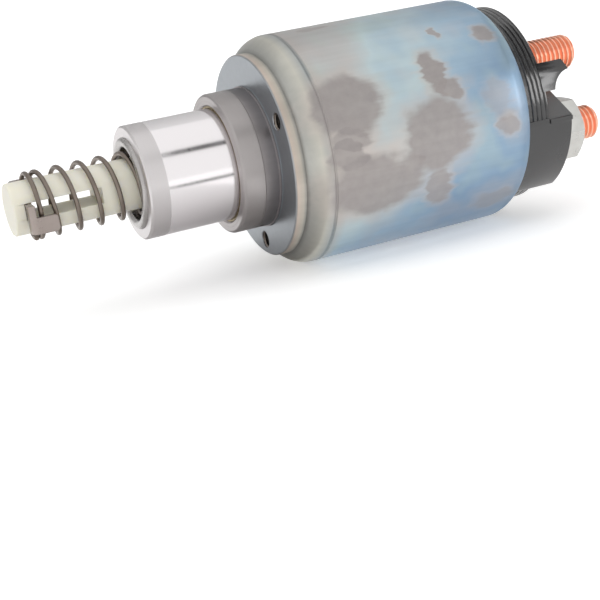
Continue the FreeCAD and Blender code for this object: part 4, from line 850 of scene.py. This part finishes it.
def card_paint(number, ends, codes, lamp):
    """Matt paint that shades from one end of the card to the other, and on a lit card an even glow."""
    material, tree, shader, place = finish_named(f"card {number}")
    across = add(tree, "ShaderNodeSeparateXYZ", {0: place}).outputs[1]
    share = add(tree, "ShaderNodeMapRange", {0: across, 1: ends[0][0] / 1000, 2: ends[1][0] / 1000}).outputs[0]
    tint = add(tree, "ShaderNodeMix", {0: share, 6: colour(codes[0]), 7: colour(codes[1])},
               data_type="RGBA").outputs[2]
    tree.links.new(tint, shader.inputs["Base Color"])
    shader.inputs["Roughness"].default_value = 0.9
    shader.inputs["Emission Color"].default_value = colour("#ffffff")
    shader.inputs["Emission Strength"].default_value = lamp
    return material


for number, (span, ends, codes, lamp) in enumerate(CARDS):
    mesh = bpy.data.meshes.new(f"card_{number}")
    outline = [(span[0], *ends[0]), (span[0], *ends[1]), (span[1], *ends[1]), (span[1], *ends[0])]
    mesh.from_pydata([tuple(c / 1000 for c in corner) for corner in outline], [], [(0, 1, 2, 3)])
    card = bpy.data.objects.new(f"card_{number}", mesh)
    card.data.materials.append(card_paint(number, ends, codes, lamp))
    bpy.context.scene.collection.objects.link(card)
    card.visible_camera = card.visible_diffuse = card.visible_shadow = card.visible_transmission = False


# Camera
# The photograph's view, worked out from the circles and edges of the part: azimuth -25.4, elevation
# 34.22 degrees about a frame that is turned 18.5 degrees about X.

FOCAL_PIXELS, FRAME_PIXELS, SENSOR = 1337, 600, 36.0
EYE = (-0.1310, -0.3065, 0.1778)
azimuth, elevation = math.radians(-25.4), math.radians(34.22)
back = Vector((math.cos(elevation) * math.sin(azimuth), -math.cos(elevation) * math.cos(azimuth), math.sin(elevation)))
right = Vector((math.cos(azimuth), math.sin(azimuth), 0))
spin = Matrix.Rotation(math.radians(18.5), 3, "X")
columns = [spin @ right, spin @ back.cross(right), spin @ back]
camera = bpy.data.objects.new("camera", bpy.data.cameras.new("camera"))
camera.data.sensor_width, camera.data.lens = SENSOR, FOCAL_PIXELS / FRAME_PIXELS * SENSOR
camera.data.clip_start, camera.data.clip_end = 0.01, 100
camera.matrix_world = Matrix.Translation(spin @ Vector(EYE)) @ Matrix(columns).transposed().to_4x4()
bpy.context.scene.collection.objects.link(camera)
bpy.context.scene.camera = camera
bpy.context.scene.view_settings.view_transform = "Standard"
